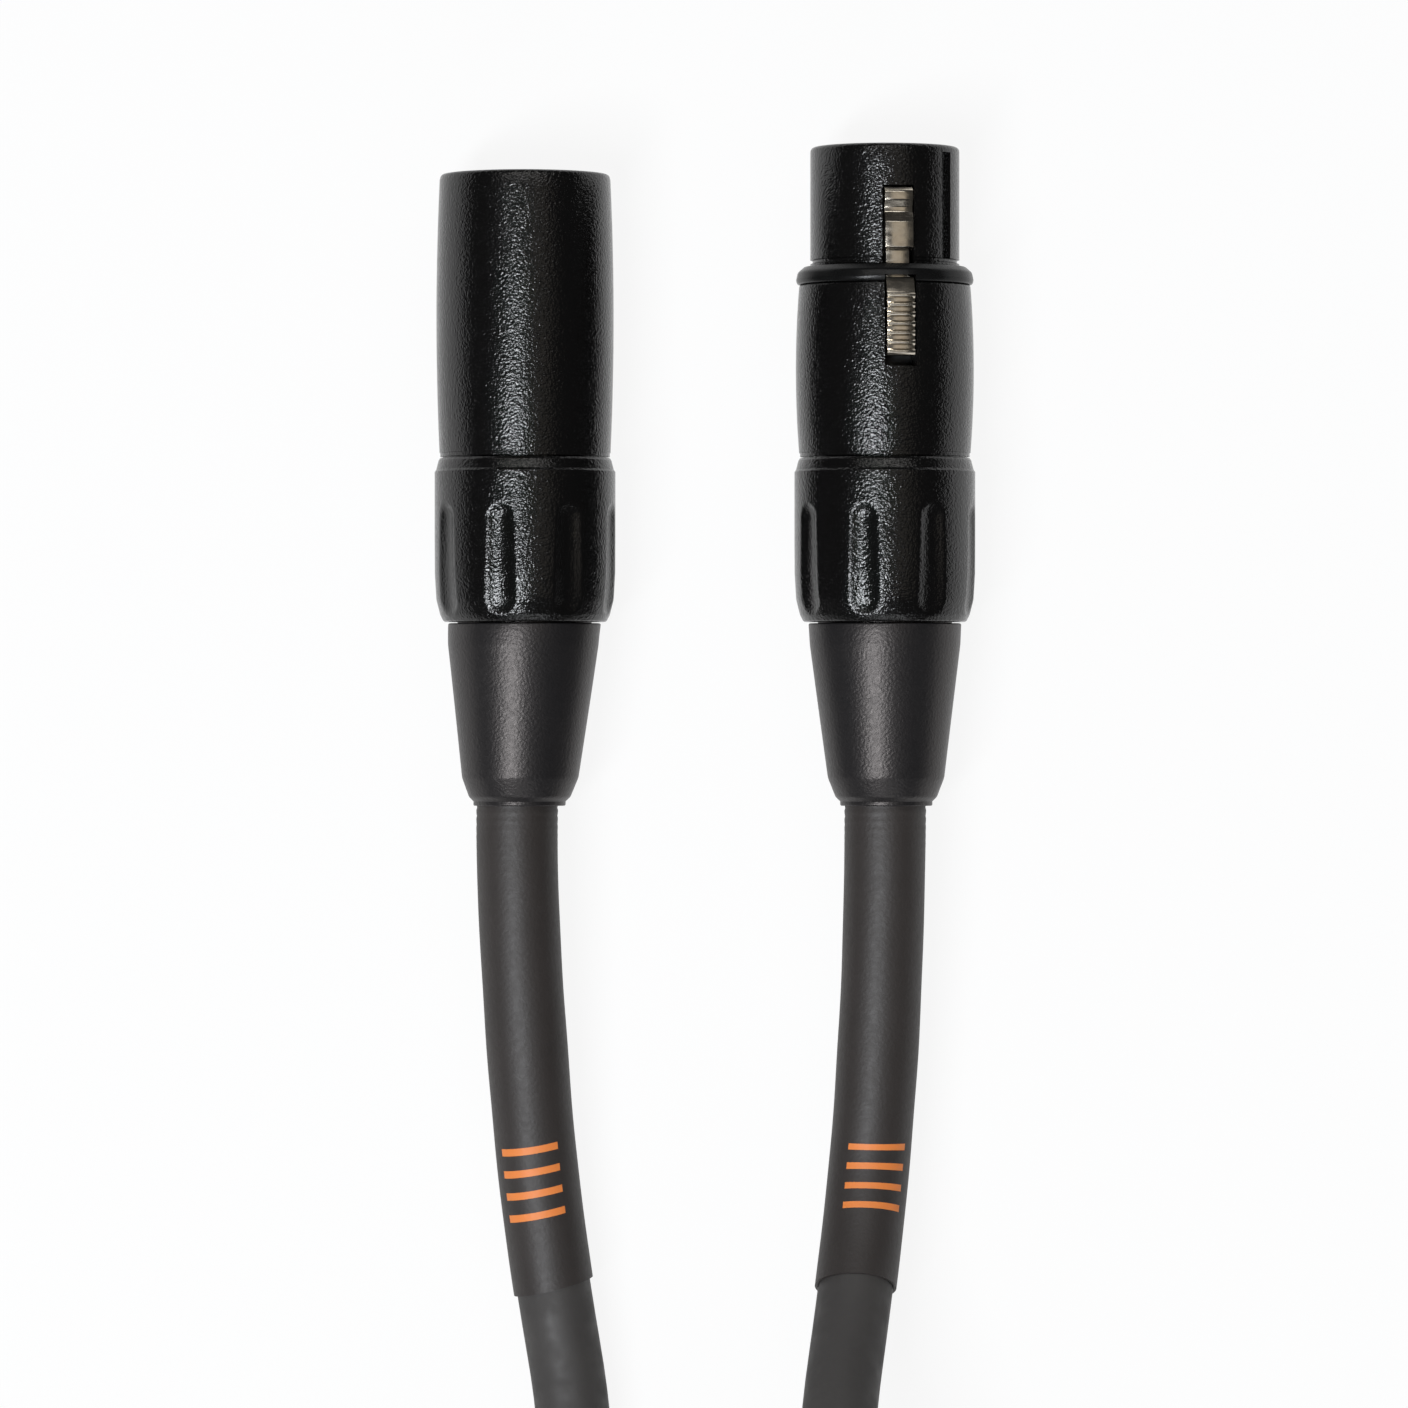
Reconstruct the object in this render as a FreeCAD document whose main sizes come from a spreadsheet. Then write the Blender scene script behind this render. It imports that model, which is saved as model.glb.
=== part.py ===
"""A balanced microphone cable: a male and a female three-pin connector on one soft cord, coiled and tied.

The frame stands on the surface that the cable lies on: +Z up, +Y along the connectors towards their open
ends, +X from the male to the female connector. Its origin lies under the middle of the two connectors.
Each connector has a frame of its own, whose origin is where the nut meets the shell, on the plug's axis.
"""

import FreeCAD, Part
import math
import os

import Sketcher
from FreeCAD import Placement, Rotation, Vector

doc = FreeCAD.newDocument("microphone_cable")

# Driving dimensions in millimetres and degrees, and counts. Lengths with "at" in their names are places
# along a connector's axis, counted from the joint of nut and shell, forwards.
SIZES = {
    # where the connectors lie
    "axis_spacing": 38.6,
    "joint_ahead": 2.2,
    "latch_roll": 9,
    "nut_roll": -14.5,
    # the cord
    "cord_diameter": 8.0,
    "jacket_end_inside": 10.0,
    "sleeve_clearance": 0.05,
    "sleeve_wall": 0.3,
    "sleeve_start_inside": 29.2,
    "sleeve_length": 60.4,
    "coil_radius": 41.0,
    "coil_gap": 0.5,
    "coil_layers": 4,
    "coil_turns": 6,
    "coil_station_count": 6,
    "coil_start_angle": 141.0,
    "coil_centre_back": 168.0,
    "coil_lead": 8.0,
    "last_run": 16.0,
    # the tie round the coil
    "tie_width": 16.0,
    "tie_thickness": 0.9,
    "tie_clearance": 0.1,
    "tie_corner": 3.0,
    # the fit between two plugs, and what both shells share
    "nose_radius": 8.0,
    "mating_clearance": 0.15,
    "barrel_wall": 0.95,
    "joint_line": 0.4,
    "thread_step": 1.2,
    "thread_wall": 1.5,
    "thread_length": 8.0,
    "thread_clearance": 0.15,
    "edge_round": 0.5,
    "insert_clearance": 0.05,
    "cut_margin": 1.0,
    # the male shell
    "barrel_tip_at": 30.3,
    "barrel_bulge_at": 16.3,
    "barrel_bulge_rise": 0.4,
    "barrel_rear_rise": 0.08,
    "barrel_side_curve": 195.6,
    "cavity_floor_at": 17.0,
    "male_seat_at": 5.0,
    "notch_front_gap": 0.8,
    "notch_rear_gap": 0.5,
    "notch_side_gap": 0.45,
    "notch_depth": 0.7,
    "key_angle": 45.0,
    "key_width": 1.0,
    "key_depth": 0.5,
    # the female shell
    "nose_tip_at": 33.2,
    "nose_wall": 0.9,
    "nose_groove_ahead": 0.35,
    "nose_groove_depth": 0.3,
    "nose_groove_width": 0.35,
    "body_front_at": 18.4,
    "body_end_rise": 0.1,
    "body_bulge_at": 9.3,
    "body_bulge_rise": 0.45,
    "body_side_curve": 111.6,
    "female_seat_at": 8.0,
    "window_front_at": 28.7,
    "window_rear_at": 9.4,
    "window_side_gap": 0.2,
    "rear_window_side_gap": 0.2,
    "key_side_gap": 0.15,
    "key_bottom_gap": 0.25,
    "keyway_tip_gap": 0.8,
    # the rubber ring behind the nose
    "ring_clearance": 0.05,
    "ring_wall": 1.45,
    "ring_length": 1.9,
    "ring_slope": 0.8,
    "ring_notch_gap": 0.25,
    # pins and contacts
    "pin_inset": 3.05,
    "pin_radius": 1.2,
    "pin_recess": 2.5,
    "shank_step": 0.4,
    "hole_clearance": 0.05,
    "flange_rim": 0.2,
    "flange_length": 0.8,
    "cup_clearance": 0.25,
    "cup_wall": 0.7,
    "cup_depth": 2.8,
    "cup_floor": 0.9,
    "contact_clearance": 0.02,
    "contact_wall": 0.48,
    "contact_depth": 12.0,
    "contact_recess": 1.0,
    "insert_recess": 0.8,
    # the latch and its slot
    "slot_depth": 2.5,
    "slot_side_gap": 0.45,
    "slot_rear_gap": 0.4,
    "slot_front_gap": 0.5,
    "latch_width": 3.0,
    "latch_front_gap": 0.2,
    "latch_leg": 1.6,
    "latch_leg_gap": 0.4,
    "latch_pin_radius": 0.4,
    "latch_pin_above_floor": 1.3,
    "latch_pin_seat": 0.5,
    "latch_pin_fit": 0.01,
    "latch_pin_clearance": 0.05,
    "hook_rise": 0.75,
    "hump_drop": 0.3,
    "hump_slope": 0.4,
    "hump_length": 1.0,
    "valley_drop": 0.65,
    "valley_slope": 0.9,
    "valley_length": 0.4,
    "front_chamfer": 0.55,
    "ramp_foot": 0.5,
    "ramp_length": 0.5,
    "hook_length": 2.8,
    "hook_back_slope": 0.3,
    "neck_width": 2.5,
    "neck_drop": 0.4,
    "neck_thickness": 0.7,
    "neck_overlap": 0.3,
    "button_rise": 0.6,
    "button_front_reach": 0.45,
    "button_rear_gap": 1.1,
    "button_slope": 1.55,
    "button_lip_drop": 0.7,
    "button_undercut": 0.6,
    "ridge_count": 7,
    "ridge_height": 0.25,
    "ridge_width": 0.55,
    "ridge_sink": 0.3,
    "ridge_front_gap": 0.25,
    "spring_width": 2.2,
    "spring_thickness": 0.25,
    "spring_foot_ahead": 2.0,
    "spring_tip_inset": 2.0,
    "spring_tip_length": 1.2,
    # the chuck that grips the cord
    "chuck_clearance": 0.05,
    "chuck_side_gap": 0.55,
    "chuck_nose_gap": 0.2,
    "chuck_nose_length": 1.2,
    "chuck_taper": 1.0,
    "chuck_taper_length": 2.0,
    "chuck_boot_gap": 0.65,
    "chuck_bridge": 2.0,
    "chuck_slot_count": 4,
    "chuck_slot_width": 1.0,
    # the back nut
    "nut_gap": 0.15,
    "nut_wall": 1.65,
    "nut_length": 17.7,
    "nut_rim_step": 0.28,
    "nut_rim_length": 1.2,
    "nut_rim_chamfer": 0.3,
    "nut_rim_slope": 0.2,
    "nut_rear_drop": 1.0,
    "nut_round": 2.4,
    "nut_round_drop": 0.15,
    "nut_lip": 0.9,
    "nut_lip_depth": 0.7,
    "flute_count": 8,
    "flute_front": 5.3,
    "flute_axis_out": 0.45,
    "flute_front_radius": 1.3,
    "flute_rear_radius": 1.6,
    # the rubber boot
    "boot_gap": 0.15,
    "boot_flange_length": 1.0,
    "boot_wall": 0.9,
    "boot_step": 0.5,
    "boot_collar_length": 2.3,
    "boot_collar_taper": 0.12,
    "boot_cone_length": 14.5,
    "boot_cone_wall": 1.25,
    "boot_shoulder_length": 2.15,
    "boot_shoulder_round": 2.6,
    "boot_lip_length": 0.6,
    "boot_lip_wall": 0.3,
    "boot_bore_gap": 0.4,
    "boot_hollow_end": 4.0,
    # the wires inside
    "wire_radius": 0.65,
    "wire_spread": 1.9,
    "wire_straight": 4.0,
    "wire_end_straight": 2.5,
    "wire_into_cup": 1.2,
    "wire_gap": 0.1,
}

sheet = doc.addObject("Spreadsheet::Sheet", "Sizes")
for row, (alias, number) in enumerate(SIZES.items(), 1):
    sheet.set(f"A{row}", alias)
    sheet.set(f"B{row}", str(number))
    sheet.setAlias(f"B{row}", alias)
doc.recompute()


class Size:
    """A number together with the sheet expression that gives it."""

    def __init__(self, text, value):
        self.text = text
        self.value = value

    def join(self, sign, other, value):
        return Size(f"({self.text} {sign} {other.text})", value)

    def __add__(self, other):
        other = as_size(other)
        return self.join("+", other, self.value + other.value)

    def __sub__(self, other):
        other = as_size(other)
        return self.join("-", other, self.value - other.value)

    def __mul__(self, other):
        other = as_size(other)
        return self.join("*", other, self.value * other.value)

    def __truediv__(self, other):
        other = as_size(other)
        return self.join("/", other, self.value / other.value)

    def __neg__(self):
        return Size(f"(0 - {self.text})", -self.value)

    def __float__(self):
        return float(self.value)


def as_size(number):
    return number if isinstance(number, Size) else Size(repr(number), float(number))


class Sheet:
    """Gives a cell of the sheet by its alias, as a Size."""

    def __getattr__(self, alias):
        return Size(f"Sizes.{alias}", float(sheet.get(alias)))


S = Sheet()
pieces = []


def new_body(label, place=Placement()):
    body = doc.addObject("PartDesign::Body", label)
    body.Label = label
    body.Placement = place
    pieces.append(body)
    return body


def new_sketch(body, name, plane, turned=0.0):
    """A sketch on one of the body's own planes, turned round the plane's own first axis."""
    sketch = body.newObject("Sketcher::SketchObject", name)
    origin = [part for part in body.Origin.OriginFeatures if part.Role == plane][0]
    sketch.AttachmentSupport = (origin, [""])
    sketch.MapMode = "FlatFace"
    sketch.AttachmentOffset = Placement(Vector(), Rotation(Vector(1, 0, 0), turned))
    return sketch


def fix_point(sketch, edge, end, x, y):
    """Ties an edge's end to its two distances from the sketch's origin."""
    for kind, axis, distance in (("DistanceX", -2, x), ("DistanceY", -1, y)):
        if distance.value == 0:
            sketch.addConstraint(Sketcher.Constraint("PointOnObject", edge, end, axis))
            continue
        number = sketch.addConstraint(Sketcher.Constraint(kind, -1, 1, edge, end, distance.value))
        sketch.setExpression(f"Constraints[{number}]", distance.text)


def draw_outline(sketch, outline):
    """Draws a closed outline of corners (x, y), or (x, y, radius) where an arc runs to the next corner.

    A positive radius turns left on the way to the next corner, and a negative one turns right.
    """
    corners = [tuple(as_size(number) for number in corner) for corner in outline]
    edges = []
    for here, there in zip(corners, corners[1:] + corners[:1]):
        a = Vector(here[0].value, here[1].value, 0)
        b = Vector(there[0].value, there[1].value, 0)
        if len(here) == 2:
            edges.append((sketch.addGeometry(Part.LineSegment(a, b), False), 1, 2, None))
            continue
        radius = abs(here[2].value)
        left = here[2].value > 0
        chord = b - a
        height = math.sqrt(max(radius**2 - (chord.Length / 2) ** 2, 0.0))
        side = Vector(-chord.y, chord.x, 0).normalize() * (height if left else -height)
        centre = (a + b) / 2 + side
        first, last = (a, b) if left else (b, a)
        angles = [math.atan2(point.y - centre.y, point.x - centre.x) for point in (first, last)]
        arc = Part.ArcOfCircle(Part.Circle(centre, Vector(0, 0, 1), radius), *angles)
        size = here[2] if left else -here[2]
        edges.append((sketch.addGeometry(arc, False),) + ((1, 2) if left else (2, 1)) + (size,))
    for (edge, start, end, radius), following in zip(edges, edges[1:] + edges[:1]):
        sketch.addConstraint(Sketcher.Constraint("Coincident", edge, end, following[0], following[1]))
    for (edge, start, end, radius), corner in zip(edges, corners):
        fix_point(sketch, edge, start, corner[0], corner[1])
        if radius is not None:
            number = sketch.addConstraint(Sketcher.Constraint("Radius", edge, radius.value))
            sketch.setExpression(f"Constraints[{number}]", radius.text)


def draw_circle(sketch, x, y, radius):
    x, y, radius = as_size(x), as_size(y), as_size(radius)
    circle = Part.Circle(Vector(x.value, y.value, 0), Vector(0, 0, 1), radius.value)
    edge = sketch.addGeometry(circle, False)
    fix_point(sketch, edge, 3, x, y)
    number = sketch.addConstraint(Sketcher.Constraint("Radius", edge, radius.value))
    sketch.setExpression(f"Constraints[{number}]", radius.text)


def turn(body, name, outline):
    """A solid of revolution round the body's Y axis, from corners (radius, place along the axis)."""
    sketch = new_sketch(body, name + "_outline", "XY_Plane")
    draw_outline(sketch, outline)
    solid = body.newObject("PartDesign::Revolution", name)
    solid.Profile = sketch
    solid.ReferenceAxis = (sketch, ["V_Axis"])
    solid.Angle = 360
    sketch.Visibility = False
    return solid


def extrude(body, name, kind, outlines, width, turned=0.0, plane="YZ_Plane"):
    """A Pad or a Pocket of outlines, half its width each side of the plane."""
    sketch = new_sketch(body, name + "_outline", plane, turned)
    for outline in outlines:
        draw_outline(sketch, outline)
    feature = body.newObject("PartDesign::" + kind, name)
    feature.Profile = sketch
    feature.Midplane = True
    feature.setExpression("Length", as_size(width).text)
    return feature


def drill(body, name, circles, width):
    """Round holes along the body's Y axis, cut half the width to each side."""
    sketch = new_sketch(body, name + "_outline", "XZ_Plane")
    for x, y, radius in circles:
        draw_circle(sketch, x, y, radius)
    holes = body.newObject("PartDesign::Pocket", name)
    holes.Profile = sketch
    holes.Midplane = True
    holes.setExpression("Length", as_size(width).text)
    return holes


def repeat_round(body, name, feature, count):
    """Repeats a feature round the body's Y axis."""
    pattern = body.newObject("PartDesign::PolarPattern", name)
    pattern.Originals = [feature]
    axis = [part for part in body.Origin.OriginFeatures if part.Role == "Y_Axis"][0]
    pattern.Axis = (axis, [""])
    pattern.Angle = 360
    pattern.setExpression("Occurrences", as_size(count).text)
    body.Tip = pattern
    return pattern


def box_outline(low_x, high_x, low_y, high_y):
    return [(low_x, low_y), (high_x, low_y), (high_x, high_y), (low_x, high_y)]


# Radii that several pieces share, all worked out from the fit between two plugs and from the cord
cavity_radius = S.nose_radius + S.mating_clearance
nose_bore = S.nose_radius - S.nose_wall
pin_circle = nose_bore - S.pin_inset
slot_floor = nose_bore - S.slot_depth
joint_radius = cavity_radius + S.barrel_wall
thread_radius = joint_radius - S.thread_step
rear_bore = thread_radius - S.thread_wall
nut_bore = thread_radius + S.thread_clearance
nut_radius = nut_bore + S.nut_wall
body_bulge_radius = joint_radius + S.body_bulge_rise
sleeve_radius = S.cord_diameter / 2 + S.sleeve_clearance + S.sleeve_wall
shank_radius = S.pin_radius + S.shank_step
contact_bore = S.pin_radius + S.contact_clearance
contact_radius = contact_bore + S.contact_wall
flange_radius = contact_radius + S.flange_rim
cup_bore = S.wire_radius + S.cup_clearance
cup_radius = cup_bore + S.cup_wall
cut_depth = (S.nose_tip_at + S.nut_length) * 2
over_shell = body_bulge_radius + S.cut_margin

# Places along the latch, from its front end to its button, which its windows and the notch follow too
leg_front = S.window_front_at - S.latch_front_gap
leg_rear = leg_front - S.latch_leg
hump_front = leg_front - S.hump_slope
hump_rear = hump_front - S.hump_length
valley_front = hump_rear - S.valley_slope
valley_rear = valley_front - S.valley_length
ramp_start = valley_rear - S.ramp_foot
hook_front = ramp_start - S.ramp_length
hook_rear = hook_front - S.hook_length
hook_back = hook_rear - S.hook_back_slope
button_front = S.body_front_at + S.button_front_reach
button_rear = S.window_rear_at + S.button_rear_gap
slot_width = S.latch_width + S.slot_side_gap * 2

# Frames of the two connectors, and their pieces' frames at the pins' places
nut_height = nut_radius.value
half_spacing = S.axis_spacing.value / 2


def connector_frame(side, roll):
    base = Vector(side * half_spacing, S.joint_ahead.value, nut_height)
    return Placement(base, Rotation(Vector(0, 1, 0), roll))


def at_pin(frame, number):
    circle = pin_circle.value
    across, up = {"1": (-circle, 0), "2": (circle, 0), "3": (0, -circle)}[number]
    return frame.multiply(Placement(Vector(across, 0, up), Rotation()))


def pin_circles(radius):
    return [(-pin_circle, 0, radius), (pin_circle, 0, radius), (0, -pin_circle, radius)]


PINS = ("1", "2", "3")
WIRES = {"screen": "1", "hot": "2", "cold": "3"}

# Male shell: a barrel round the pins, with a threaded spigot behind it
male = connector_frame(-1, 0)
shell = new_body("male_shell", male)
turn(
    shell,
    "barrel",
    [
        (rear_bore, -S.thread_length),
        (thread_radius, -S.thread_length),
        (thread_radius, 0),
        (joint_radius, 0),
        (joint_radius, S.joint_line),
        (joint_radius + S.barrel_rear_rise, S.joint_line, S.barrel_side_curve),
        (joint_radius + S.barrel_bulge_rise, S.barrel_bulge_at, S.barrel_side_curve),
        (joint_radius, S.barrel_tip_at - S.edge_round, S.edge_round),
        (joint_radius - S.edge_round, S.barrel_tip_at),
        (cavity_radius, S.barrel_tip_at),
        (cavity_radius, S.male_seat_at),
        (rear_bore, S.male_seat_at),
    ],
)
mated = S.cavity_floor_at + S.nose_tip_at
notch_rear = mated - hook_front - S.notch_rear_gap
notch_front = mated - hook_rear + S.notch_front_gap
extrude(
    shell,
    "latch_notch",
    "Pocket",
    [box_outline(notch_rear, notch_front, cavity_radius - S.cut_margin, cavity_radius + S.notch_depth)],
    S.latch_width + S.notch_side_gap * 2,
)
extrude(
    shell,
    "key",
    "Pad",
    [
        box_outline(
            S.cavity_floor_at + S.insert_clearance,
            notch_front,
            cavity_radius - S.key_depth,
            cavity_radius + S.key_depth,
        )
    ],
    S.key_width,
    -S.key_angle.value,
)

# Male insert: the plastic disc that holds the three pins
insert = new_body("male_insert", male)
insert_radius = cavity_radius - S.insert_clearance
turn(
    insert,
    "disc",
    [
        (0, S.male_seat_at),
        (insert_radius, S.male_seat_at),
        (insert_radius, S.cavity_floor_at),
        (0, S.cavity_floor_at),
    ],
)
drill(insert, "pin_holes", pin_circles(shank_radius + S.hole_clearance), cut_depth)

# Male pins: a round tip, a thicker shank in the insert, a flange and a solder cup
for number in PINS:
    pin = new_body(f"male_pin_{number}", at_pin(male, number))
    pin_tip = S.barrel_tip_at - S.pin_recess
    flange_rear = S.male_seat_at - S.flange_length
    cup_rear = flange_rear - S.cup_floor - S.cup_depth
    turn(
        pin,
        "rod",
        [
            (0, cup_rear + S.cup_depth),
            (cup_bore, cup_rear + S.cup_depth),
            (cup_bore, cup_rear),
            (cup_radius, cup_rear),
            (cup_radius, flange_rear),
            (flange_radius, flange_rear),
            (flange_radius, S.male_seat_at),
            (shank_radius, S.male_seat_at),
            (shank_radius, S.cavity_floor_at),
            (S.pin_radius, S.cavity_floor_at),
            (S.pin_radius, pin_tip - S.pin_radius, S.pin_radius),
            (0, pin_tip),
        ],
    )

# Female shell: the nose that enters the other plug, the body with the latch window, the same spigot
female = connector_frame(1, S.latch_roll.value)
shell = new_body("female_shell", female)
body_end_radius = joint_radius + S.body_end_rise
ring_rear = S.body_front_at + S.ring_clearance
ring_front = ring_rear + S.ring_length
groove_rear = ring_front + S.nose_groove_ahead
groove_front = groove_rear + S.nose_groove_width
turn(
    shell,
    "nose_and_body",
    [
        (rear_bore, -S.thread_length),
        (thread_radius, -S.thread_length),
        (thread_radius, 0),
        (joint_radius, 0),
        (joint_radius, S.joint_line),
        (body_end_radius, S.joint_line, S.body_side_curve),
        (body_bulge_radius, S.body_bulge_at, S.body_side_curve),
        (body_end_radius, S.body_front_at),
        (S.nose_radius, S.body_front_at),
        (S.nose_radius, groove_rear),
        (S.nose_radius - S.nose_groove_depth, groove_rear),
        (S.nose_radius - S.nose_groove_depth, groove_front),
        (S.nose_radius, groove_front),
        (S.nose_radius, S.nose_tip_at - S.edge_round, S.edge_round),
        (S.nose_radius - S.edge_round, S.nose_tip_at),
        (nose_bore, S.nose_tip_at),
        (nose_bore, S.female_seat_at),
        (rear_bore, S.female_seat_at),
    ],
)
extrude(
    shell,
    "front_window",
    "Pocket",
    [box_outline(S.body_front_at, S.window_front_at, slot_floor, over_shell)],
    S.latch_width + S.window_side_gap * 2,
)
extrude(
    shell,
    "rear_window",
    "Pocket",
    [box_outline(S.window_rear_at, S.body_front_at + S.joint_line, slot_floor, over_shell)],
    S.latch_width + S.rear_window_side_gap * 2,
)
extrude(
    shell,
    "keyway",
    "Pocket",
    [
        box_outline(
            groove_front,
            S.nose_tip_at - S.keyway_tip_gap,
            cavity_radius - S.key_depth - S.key_bottom_gap,
            over_shell,
        )
    ],
    S.key_width + S.key_side_gap * 2,
    S.key_angle.value,
)

# Rubber ring that lies between nose and body, with a notch for the latch's button
ring = new_body("female_collar_ring", female)
ring_bore = S.nose_radius + S.ring_clearance
ring_radius = ring_bore + S.ring_wall
turn(
    ring,
    "ring",
    [
        (ring_bore, ring_rear),
        (ring_radius - S.ring_slope / 2, ring_rear),
        (ring_radius, ring_rear + S.ring_slope / 2),
        (ring_radius, ring_front - S.ring_slope),
        (ring_radius - S.ring_slope, ring_front),
        (ring_bore, ring_front),
    ],
)
extrude(
    ring,
    "latch_notch",
    "Pocket",
    [
        box_outline(
            S.body_front_at,
            button_front + S.ring_notch_gap,
            S.nose_radius - S.cut_margin,
            over_shell,
        )
    ],
    S.latch_width + S.rear_window_side_gap * 2,
)

# Female insert: a plastic core with three contact holes and a slot for the latch
insert = new_body("female_insert", female)
insert_radius = nose_bore - S.insert_clearance
insert_front = S.nose_tip_at - S.insert_recess
turn(
    insert,
    "core",
    [
        (0, S.female_seat_at),
        (insert_radius, S.female_seat_at),
        (insert_radius, insert_front),
        (0, insert_front),
    ],
)
drill(insert, "contact_holes", pin_circles(contact_radius + S.hole_clearance), cut_depth)
extrude(
    insert,
    "latch_slot",
    "Pocket",
    [
        box_outline(
            S.window_rear_at - S.slot_rear_gap,
            S.window_front_at + S.slot_front_gap,
            slot_floor,
            over_shell,
        )
    ],
    slot_width,
)
latch_pin_at = leg_front - S.latch_leg / 2
latch_pin_height = slot_floor + S.latch_pin_above_floor
latch_pin_length = slot_width + S.latch_pin_seat * 2
pin_hole = new_sketch(insert, "pin_hole_outline", "YZ_Plane")
draw_circle(pin_hole, latch_pin_at, latch_pin_height, S.latch_pin_radius + S.latch_pin_fit)
hole = insert.newObject("PartDesign::Pocket", "pin_hole")
hole.Profile = pin_hole
hole.Midplane = True
hole.setExpression("Length", (latch_pin_length + S.latch_pin_clearance).text)

# Female contacts: tubes that take the pins, with a flange and a solder cup behind
for number in PINS:
    contact = new_body(f"female_contact_{number}", at_pin(female, number))
    contact_front = insert_front - S.contact_recess
    flange_rear = S.female_seat_at - S.flange_length
    cup_rear = flange_rear - S.cup_floor - S.cup_depth
    turn(
        contact,
        "tube",
        [
            (0, cup_rear + S.cup_depth),
            (cup_bore, cup_rear + S.cup_depth),
            (cup_bore, cup_rear),
            (cup_radius, cup_rear),
            (cup_radius, flange_rear),
            (flange_radius, flange_rear),
            (flange_radius, S.female_seat_at),
            (contact_radius, S.female_seat_at),
            (contact_radius, contact_front),
            (contact_bore, contact_front),
            (contact_bore, contact_front - S.contact_depth),
            (0, contact_front - S.contact_depth),
        ],
    )

# Latch: a lever on a pin at its front, with a hook that holds the mating shell and a ridged button
latch = new_body("female_latch", female)
leg_foot = slot_floor + S.latch_leg_gap
hook_height = S.nose_radius + S.hook_rise
hump_height = hook_height - S.hump_drop
valley_height = hook_height - S.valley_drop
neck_height = S.nose_radius - S.neck_drop
neck_under = neck_height - S.neck_thickness
button_height = joint_radius + S.button_rise
extrude(
    latch,
    "hook",
    "Pad",
    [
        [
            (leg_front, leg_foot),
            (leg_front, hump_height - S.front_chamfer),
            (hump_front, hump_height),
            (hump_rear, hump_height),
            (valley_front, valley_height),
            (valley_rear, valley_height),
            (ramp_start, hump_height),
            (hook_front, hook_height),
            (hook_rear, hook_height),
            (hook_back, neck_height),
            (hook_back, neck_under),
            (leg_rear, neck_under),
            (leg_rear, leg_foot),
        ]
    ],
    S.latch_width,
)
extrude(
    latch,
    "neck",
    "Pad",
    [
        box_outline(
            button_front - S.neck_overlap,
            hook_back + S.neck_overlap,
            neck_under,
            neck_height,
        )
    ],
    S.neck_width,
)
extrude(
    latch,
    "button",
    "Pad",
    [
        [
            (button_front, neck_under),
            (button_front, button_height - S.button_lip_drop),
            (button_front - S.button_slope, button_height),
            (button_rear, button_height),
            (button_rear, neck_height),
            (button_rear + S.button_undercut, neck_under),
        ]
    ],
    S.latch_width,
)
ridge_front = button_rear + S.ridge_width
ridge = extrude(
    latch,
    "ridge",
    "Pad",
    [
        [
            (button_rear, button_height - S.ridge_sink),
            (ridge_front, button_height - S.ridge_sink),
            (ridge_front, button_height),
            (ridge_front - S.ridge_width / 4, button_height + S.ridge_height),
            (button_rear + S.ridge_width / 4, button_height + S.ridge_height),
            (button_rear, button_height),
        ]
    ],
    S.latch_width,
)
ridges = latch.newObject("PartDesign::LinearPattern", "ridges")
ridges.Originals = [ridge]
y_axis = [part for part in latch.Origin.OriginFeatures if part.Role == "Y_Axis"][0]
ridges.Direction = (y_axis, [""])
last_ridge = button_front - S.button_slope - S.ridge_front_gap - S.ridge_width
ridges.setExpression("Length", (last_ridge - button_rear).text)
ridges.setExpression("Occurrences", S.ridge_count.text)
latch.Tip = ridges
eye_outline = new_sketch(latch, "eye_outline", "YZ_Plane")
draw_circle(eye_outline, latch_pin_at, latch_pin_height, S.latch_pin_radius + S.latch_pin_clearance)
eye = latch.newObject("PartDesign::Pocket", "eye")
eye.Profile = eye_outline
eye.Midplane = True
eye.setExpression("Length", slot_width.text)

# Steel pin that the latch turns on
latch_pin = new_body("female_latch_pin", female)
pin_outline = new_sketch(latch_pin, "pin_outline", "YZ_Plane")
draw_circle(pin_outline, latch_pin_at, latch_pin_height, S.latch_pin_radius)
rod = latch_pin.newObject("PartDesign::Pad", "rod")
rod.Profile = pin_outline
rod.Midplane = True
rod.setExpression("Length", latch_pin_length.text)

# Leaf spring under the latch: flat on the slot's floor, then rising to the lever
spring = new_body("female_latch_spring", female)
spring_foot_front = hook_back + S.neck_overlap + S.spring_foot_ahead
spring_foot_rear = button_front + S.spring_foot_ahead
spring_tip_rear = button_rear + S.spring_tip_inset
spring_tip_front = spring_tip_rear + S.spring_tip_length
spring_top = neck_under - S.spring_thickness - S.latch_pin_clearance
extrude(
    spring,
    "leaf",
    "Pad",
    [
        [
            (spring_foot_front, slot_floor),
            (spring_foot_front, slot_floor + S.spring_thickness),
            (spring_foot_rear, slot_floor + S.spring_thickness),
            (spring_tip_front, spring_top + S.spring_thickness),
            (spring_tip_rear, spring_top + S.spring_thickness),
            (spring_tip_rear, spring_top),
            (spring_tip_front, spring_top),
            (spring_foot_rear, slot_floor),
        ]
    ],
    S.spring_width,
)


# What both connectors have behind their shells: chuck, back nut and boot
nut_rear = -S.nut_length
lip_hole = nut_bore - S.nut_lip_depth
boot_front = nut_rear + S.nut_lip + S.boot_gap + S.boot_flange_length


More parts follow.
